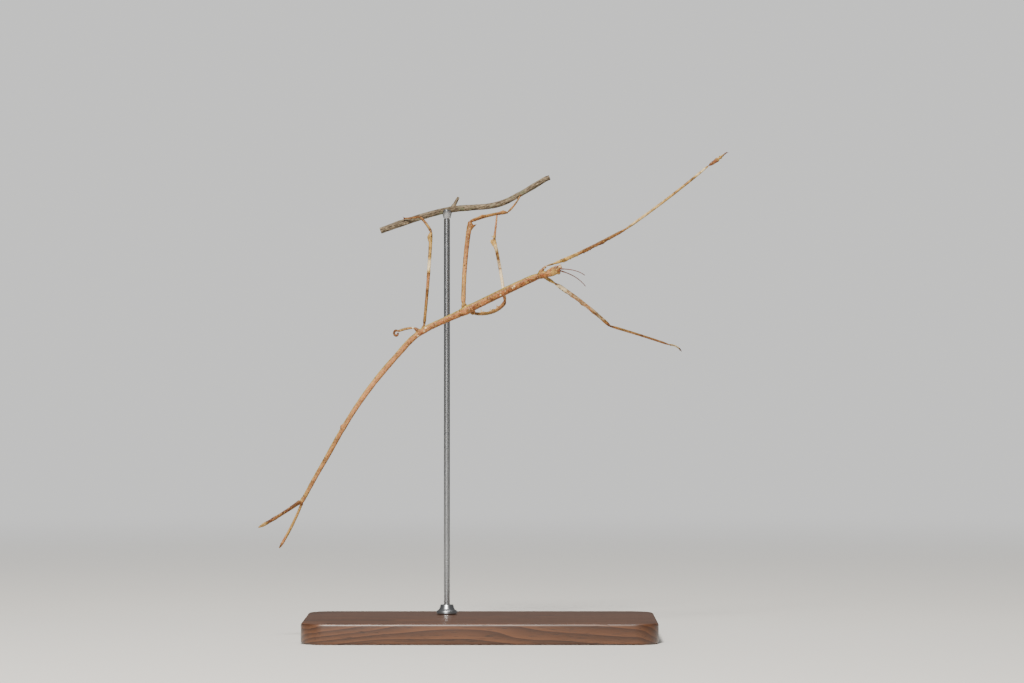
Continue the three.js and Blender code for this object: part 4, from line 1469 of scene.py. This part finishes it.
def bark_tube(shape, centres, radii, sides, offset=0.0):
    """A twig's bark: a fine tube with lengthwise furrows, pores and level cut ends."""
    lie = shape.verts.layers.float_vector["lie"]
    pore, share_out = (shape.verts.layers.float[name] for name in ("pore", "radius"))
    last = len(centres) - 1
    alongs = [
        (centres[min(row + 1, last)] - centres[max(row - 1, 0)]).normalized()
        for row in range(len(centres))
    ]
    rows = list(zip(centres, alongs, radii))
    body = [station(centre, along, UP, size, size) for centre, along, size in rows]
    front, back = (
        [station(centre, along, UP, size * share, size * share) for share in CUT_RINGS]
        for centre, along, size in (rows[0], rows[-1])
    )
    rings = tube(shape, front[::-1] + body + back, sides)
    travelled = offset
    for place, ring in enumerate(rings, -len(CUT_RINGS)):
        row = min(max(place, 0), last)
        centre, along, size = rows[row]
        if 0 < place <= last:
            travelled += (centre - centres[row - 1]).length
        for vert in ring:
            off = vert.co - centre
            angle = math.atan2(off.dot(along.cross(UP)), off.dot(UP))
            around = Vector((math.cos(angle), math.sin(angle))) * size
            vert[lie] = Vector((travelled, *around))
            vert[share_out] = off.length / size
            if not 0 <= place <= last:
                continue
            height = bark_height(travelled, around, offset)
            for near in pore_strength(travelled, angle, size):
                height += PORE_RISE * near
                vert[pore] = max(vert[pore], near)
            vert.co += off.normalized() * height


def averaged(values):
    """Each value with its neighbours', the ends kept."""
    inner = [(a + b * 2 + c) / 4 for a, b, c in zip(values, values[1:], values[2:])]
    return [values[0], *inner, values[-1]]


TWIG_CUTS, TWIG_ROUNDS = 240, 6
BARK_DEPTH = 0.98  # radius under the bark's relief, as a share of the solid's
SHOOT_CUTS, SHOOT_DEPTH = 24, 0.9
SHOOT_FLARE, SHOOT_FADE = 0.5, 2.5  # wider at the root, and over how many cuts
SHOOT_OFFSET = 300.0  # carries the shoot's patterns away from the twig's
BARK_EDGE = 0.9  # faces inside this share of the radius are cut wood


class INSECT_OT_perch(bpy.types.Operator):
    """Makes the cut twig and its side shoot"""

    bl_idname = "insect.perch"
    bl_label = "Perch"

    def execute(self, context):
        finishes = context.scene.stand_finish
        shape = bmesh.new()
        shape.verts.layers.float_vector.new("lie")
        for name in ("pore", "radius"):
            shape.verts.layers.float.new(name)
        far = tip("perch_twig", mean(surfaces["perch_twig"][1]))
        near = tip("perch_twig", far)
        centres, radii = centre_line("perch_twig", near, far, TWIG_CUTS)
        for _ in range(TWIG_ROUNDS):
            centres, radii = averaged(centres), averaged(radii)
        bark_tube(shape, centres, [radius * BARK_DEPTH for radius in radii], 40)
        root = meeting("perch_twig", "perch_shoot")[0]
        end = tip("perch_shoot", root)
        centres, radii = centre_line("perch_shoot", root, end, SHOOT_CUTS)
        radii = [
            radius * (1 + SHOOT_FLARE * math.exp(-place / SHOOT_FADE))
            for place, radius in enumerate(radii)
        ]
        centres[0] = centres[0] - (end - root).normalized() * SHOOT_DEPTH
        bark_tube(shape, averaged(centres), averaged(radii), 24, SHOOT_OFFSET)
        face_outward(shape)
        radius_layer = shape.verts.layers.float["radius"]
        for face in shape.faces:
            if min(vert[radius_layer] for vert in face.verts) < BARK_EDGE:
                face.material_index = 1
        materials = [bark_material(finishes), cut_material(finishes)]
        finish("perch", shape, materials, "twig_bark", "perch_twig", "perch_shoot", sharp=50)
        return {"FINISHED"}


# ---- stand ----
def wood_material(finishes):
    """Dark hardwood whose rings run the length of the base, with open pores."""
    material, tree, shader = new_material(
        "Stand wood", {"Coat Weight": 0.25, "Coat Roughness": 0.35}
    )
    place = object_mm(tree)
    bent = clouds(tree, stretched(tree, place, 0.006, 0.03, 0.03), 1.0, 2.0, output=1)
    shift = vector_node(tree, "SCALE", {0: bent, 3: 26.0})
    warped = vector_node(tree, "ADD", {0: place, 1: shift})
    rings = add(tree, "ShaderNodeTexWave", {
        "Vector": stretched(tree, warped, 0.004, 0.14, 0.22), "Scale": 1.0,
        "Distortion": 1.6, "Detail": 2.0, "Detail Scale": 1.4,
    }, 1, wave_type="BANDS", bands_direction="DIAGONAL", wave_profile="SAW")
    pores = mottle(tree, stretched(tree, place, 0.16, 3.2, 3.2), 1.0, 0.6, 0.68, 2.0)
    cloudy = mottle(tree, stretched(tree, place, 0.02, 0.12, 0.12), 1.0, 0.3, 0.7)
    colour = mixed(tree, rings, finishes.wood, finishes.ring)
    colour = laid(tree, colour, finishes.ring, cloudy, 0.35)
    colour = laid(tree, colour, finishes.vessel, pores, 0.7)
    dents = math_node(tree, "SUBTRACT", 1.0, pores)
    rough = between(tree, pores, 0.38, 0.6)
    wire(tree, shader, colour, rough, dents, strength=0.35, depth=0.08)
    return material


def steel_material(finishes):
    """Steel with fine brushing round it."""
    material, tree, shader = new_material("Stand steel", {"Metallic": 1.0})
    lines = mottle(tree, stretched(tree, object_mm(tree), 0.6, 0.6, 14.0), 1.0, 0.3, 0.7, 4.0)
    colour = mixed(tree, lines, finishes.steel, finishes.brushing)
    rough = between(tree, lines, 0.24, 0.36)
    wire(tree, shader, colour, rough, lines, strength=0.08, depth=0.02)
    return material


CORNER, CORNER_STEPS = 12, 14  # rounding of the base seen from above, in mm
RIM, RIM_STEPS = 1.2, 4  # rounding of its upper and lower edges
LEVEL = 0.01  # heights within this are one, in mm
TURNED_STEPS = 64
CHAMFER, NECK, NECK_RISE = 0.15, 0.3, 0.05  # of the rod, in mm; the neck meets the cradle
GAP = 0.05  # between a fitting and what it holds, in mm


def bevelled(shape, edges, offset, steps):
    bmesh.ops.bevel(
        shape, geom=edges, offset=offset, offset_type="OFFSET", segments=steps, profile=0.5,
        affect="EDGES", material=-1,
    )


def edge_rise(edge):
    return abs(edge.verts[0].co.z - edge.verts[1].co.z)


class INSECT_OT_base(bpy.types.Operator):
    """Makes the wooden base with rounded corners and softened edges"""

    bl_idname = "insect.base"
    bl_label = "Base"

    def execute(self, context):
        low, high = box_mm("stand_base")
        place = Matrix.Translation((low + high) / 2) @ Matrix.Diagonal((*(high - low), 1))
        shape = bmesh.new()
        bmesh.ops.create_cube(shape, size=1.0, matrix=place)
        upright = [edge for edge in shape.edges if edge_rise(edge) > 1]
        bevelled(shape, upright, CORNER, CORNER_STEPS)
        rims = [
            edge for edge in shape.edges
            if edge_rise(edge) < LEVEL
            and any(abs(face.normal.z) > 0.9 for face in edge.link_faces)
        ]
        bevelled(shape, rims, RIM, RIM_STEPS)
        face_outward(shape)
        wood = wood_material(context.scene.stand_finish)
        finish("stand_board", shape, [wood], "stand_wood", "stand_base", sharp=35)
        return {"FINISHED"}


def turned(profile, centre):
    """A solid of revolution about an upright. A profile is made of radii and heights."""
    shape = bmesh.new()
    verts = [shape.verts.new(centre + Vector((radius, 0, z))) for radius, z in profile]
    edges = [shape.edges.new(pair) for pair in zip(verts, verts[1:])]
    bmesh.ops.spin(
        shape, geom=verts + edges, cent=centre, axis=UP, angle=2 * math.pi, steps=TURNED_STEPS,
        use_merge=True,
    )
    bmesh.ops.remove_doubles(shape, verts=shape.verts, dist=MERGED / 2)
    face_outward(shape)
    return shape


def collar_profile(wide, bore, low, high):
    """Half the section of the collar, from its foot to its neck."""
    return [
        (bore, low), (wide - 0.2, low), (wide, low + 0.2), (wide, low + 1.3),
        (wide - 0.25, low + 1.6), (wide * 0.8, low + 2.1), (wide * 0.68, low + 3.0),
        (wide * 0.64, high - 0.3), (wide * 0.6, high), (bore, high), (bore, low),
    ]


def cradle_profile(wide, low, high):
    """Half the section of the cradle, with steps across its top for the hollow."""
    rings = 14
    return [
        (0, low), (wide * 0.72, low), (wide * 0.76, low + 0.2), (wide * 0.97, high - 1.6),
        (wide, high - 1.2), (wide, high),
    ] + [(wide * (1 - ring / rings), high) for ring in range(1, rings + 1)]


class INSECT_OT_rod(bpy.types.Operator):
    """Makes the steel rod with its collar, and the cradle under the twig"""

    bl_idname = "insect.rod"
    bl_label = "Rod, collar and cradle"

    def execute(self, context):
        steel = steel_material(context.scene.stand_finish)
        low, high = box_mm("stand_rod")
        centre = Vector(((low.x + high.x) / 2, (low.y + high.y) / 2, 0))
        radius = (high.x - low.x) / 2
        rest = box_mm("stand_cradle")[0].z + NECK_RISE
        shape = turned([
            (0, low.z), (radius - CHAMFER, low.z), (radius, low.z + CHAMFER),
            (radius, high.z - CHAMFER), (radius - CHAMFER, high.z), (radius - NECK, high.z),
            (radius - NECK, rest), (0, rest),
        ], centre)
        finish("stand_post", shape, [steel], "stand_steel", "stand_rod", sharp=40)

        low, high = box_mm("stand_collar")
        wide = (high.x - low.x) / 2
        shape = turned(collar_profile(wide, radius + GAP, low.z, high.z), centre)
        finish("stand_ferrule", shape, [steel], "stand_steel", "stand_collar", sharp=40)
        self.cradle(steel)
        return {"FINISHED"}

    def cradle(self, steel):
        """A cup whose top is hollowed along the twig."""
        low, high = box_mm("stand_cradle")
        middle = (low + high) / 2
        twig_centre, twig_radius = cross_section(
            "perch_twig", Vector((middle.x, middle.y, high.z)), Vector((1, 0, 0)), UP
        )
        hollow = twig_radius + GAP
        profile = cradle_profile((high.x - low.x) / 2, low.z, high.z)
        shape = turned(profile, Vector((middle.x, middle.y, 0)))
        for vert in shape.verts:
            across = vert.co.y - twig_centre.y
            inside = hollow * hollow - across * across
            if vert.co.z > high.z - LEVEL and inside > 0:
                vert.co.z = min(vert.co.z, twig_centre.z - math.sqrt(inside))
        finish("stand_rest", shape, [steel], "stand_steel", "stand_cradle", sharp=40)


# ---- studio ----
FLOOR_RADIUS = 3.6
FLOOR_FADE = (0.3, 1.5)  # how far out the floor starts to fade, and where it is gone
TARGET = Vector((0.0, 0.0, 0.15))  # what the lights face
WHITE, WARM = (1.0, 1.0, 1.0), (1.0, 0.96, 0.9)
# Lights: name, place, size, power and colour.
LIGHTS = (
    ("key", (-0.3, -1.3, 1.4), 0.32, 66.0, WARM),
    ("fill", (-0.4, -1.9, 0.4), 0.6, 4.0, WHITE),
    ("top", (0.0, 0.45, 1.5), 0.7, 9.0, WHITE),
)
WORLD_COLOUR = (0.86, 0.86, 0.85, 1.0)
WORLD_LIT, WORLD_SEEN = 0.2, 1.0  # strength as a light, and as the camera sees it
VIEW_MIDDLE = (15.32 * MM, 143.38 * MM)  # X and Z of the middle of the view
SENSOR = 36.0
CLIP = (0.1, 50.0)


def floor_material(finishes):
    """Pale matt floor that melts into the backdrop with distance."""
    material, tree, shader = new_material(
        "Studio floor", {"Roughness": 0.9, "Specular IOR Level": 0.1}
    )
    place = object_place(tree)
    away = vector_node(tree, "LENGTH", {0: place}, "Value")
    shade = tuple(part * 0.97 for part in finishes.floor)
    wire(tree, shader, mixed(tree, mottle(tree, place, 3.0, 0.2, 0.8), finishes.floor, shade))
    plug(tree, shader, {"Alpha": eased(tree, away, *FLOOR_FADE, 1.0, 0.0)})
    return material


def backdrop():
    """A plain world, dimmer as a light than it looks to the camera."""
    world = bpy.data.worlds.new("Backdrop")
    world.use_nodes = True
    tree = world.node_tree
    direct = add(tree, "ShaderNodeLightPath", None, "Is Camera Ray")
    strength = between(tree, direct, WORLD_LIT, WORLD_SEEN)
    plug(tree, tree.nodes["Background"], {"Color": WORLD_COLOUR, "Strength": strength})
    bpy.context.scene.world = world


def softbox(name, place, size, power, colour):
    light = bpy.data.lights.new(name, "AREA")
    light.shape = "DISK"
    light.size = size
    light.energy = power
    light.color = colour
    lamp = placed(name, light)
    lamp.location = place
    lamp.rotation_euler = (TARGET - Vector(place)).to_track_quat("-Z", "Y").to_euler()


class INSECT_OT_studio(bpy.types.Operator):
    """Lays the floor and sets the lights and the camera"""

    bl_idname = "insect.studio"
    bl_label = "Studio"

    def execute(self, context):
        finishes = context.scene.stand_finish
        shape = bmesh.new()
        bmesh.ops.create_circle(shape, cap_ends=True, segments=96, radius=FLOOR_RADIUS)
        mesh = to_mesh("floor", shape)
        mesh.materials.append(floor_material(finishes))
        floor = placed("floor", mesh)
        floor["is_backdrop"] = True
        for light in LIGHTS:
            softbox(*light)
        backdrop()

        data = bpy.data.cameras.new("camera")
        camera = placed("camera", data)
        body_plane = LENGTHS["mesothorax"].start.y * MM
        data.sensor_width = SENSOR
        data.lens = SENSOR * finishes.distance / finishes.view_width
        data.clip_start, data.clip_end = CLIP
        across, up = VIEW_MIDDLE
        camera.location = (across, body_plane - finishes.distance, up)
        camera.rotation_euler = (math.radians(90), 0, 0)
        context.scene.camera = camera
        return {"FINISHED"}


# ---- add-on ----
SETTINGS = {
    "insect_sizes": InsectSizes, "insect_colours": InsectColours, "stand_finish": StandFinish,
}
OPERATORS = (
    INSECT_OT_skin, INSECT_OT_eyes, INSECT_OT_mouth, INSECT_OT_feelers, INSECT_OT_claws,
    INSECT_OT_perch, INSECT_OT_base, INSECT_OT_rod, INSECT_OT_studio,
)


class VIEW3D_PT_insect(bpy.types.Panel):
    """Buttons and values of the stick insect"""

    bl_label = "Stick Insect"
    bl_space_type = "VIEW_3D"
    bl_region_type = "UI"
    bl_category = "Stick Insect"

    def draw(self, context):
        layout = self.layout
        for operator in OPERATORS:
            layout.operator(operator.bl_idname)
        for key in SETTINGS:
            settings = getattr(context.scene, key)
            column = layout.column(align=True)
            for name in settings.__annotations__:
                column.prop(settings, name)


CLASSES = (*SETTINGS.values(), *OPERATORS, VIEW3D_PT_insect)


def register():
    for cls in CLASSES:
        bpy.utils.register_class(cls)
    for key, group in SETTINGS.items():
        setattr(bpy.types.Scene, key, bpy.props.PointerProperty(type=group))


def unregister():
    for key in SETTINGS:
        delattr(bpy.types.Scene, key)
    for cls in reversed(CLASSES):
        bpy.utils.unregister_class(cls)


def main():
    register()
    bpy.ops.insect.skin()
    bpy.ops.insect.eyes()
    bpy.ops.insect.mouth()
    bpy.ops.insect.feelers()
    bpy.ops.insect.claws()
    bpy.ops.insect.perch()
    bpy.ops.insect.base()
    bpy.ops.insect.rod()
    bpy.ops.insect.studio()
    visual_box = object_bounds()
    boxes = {"cad": CAD_BOX, "visual": visual_box}
    {name: [list(corner) for corner in box] for name, box in boxes.items()}


if __name__ == "__main__":
    main()
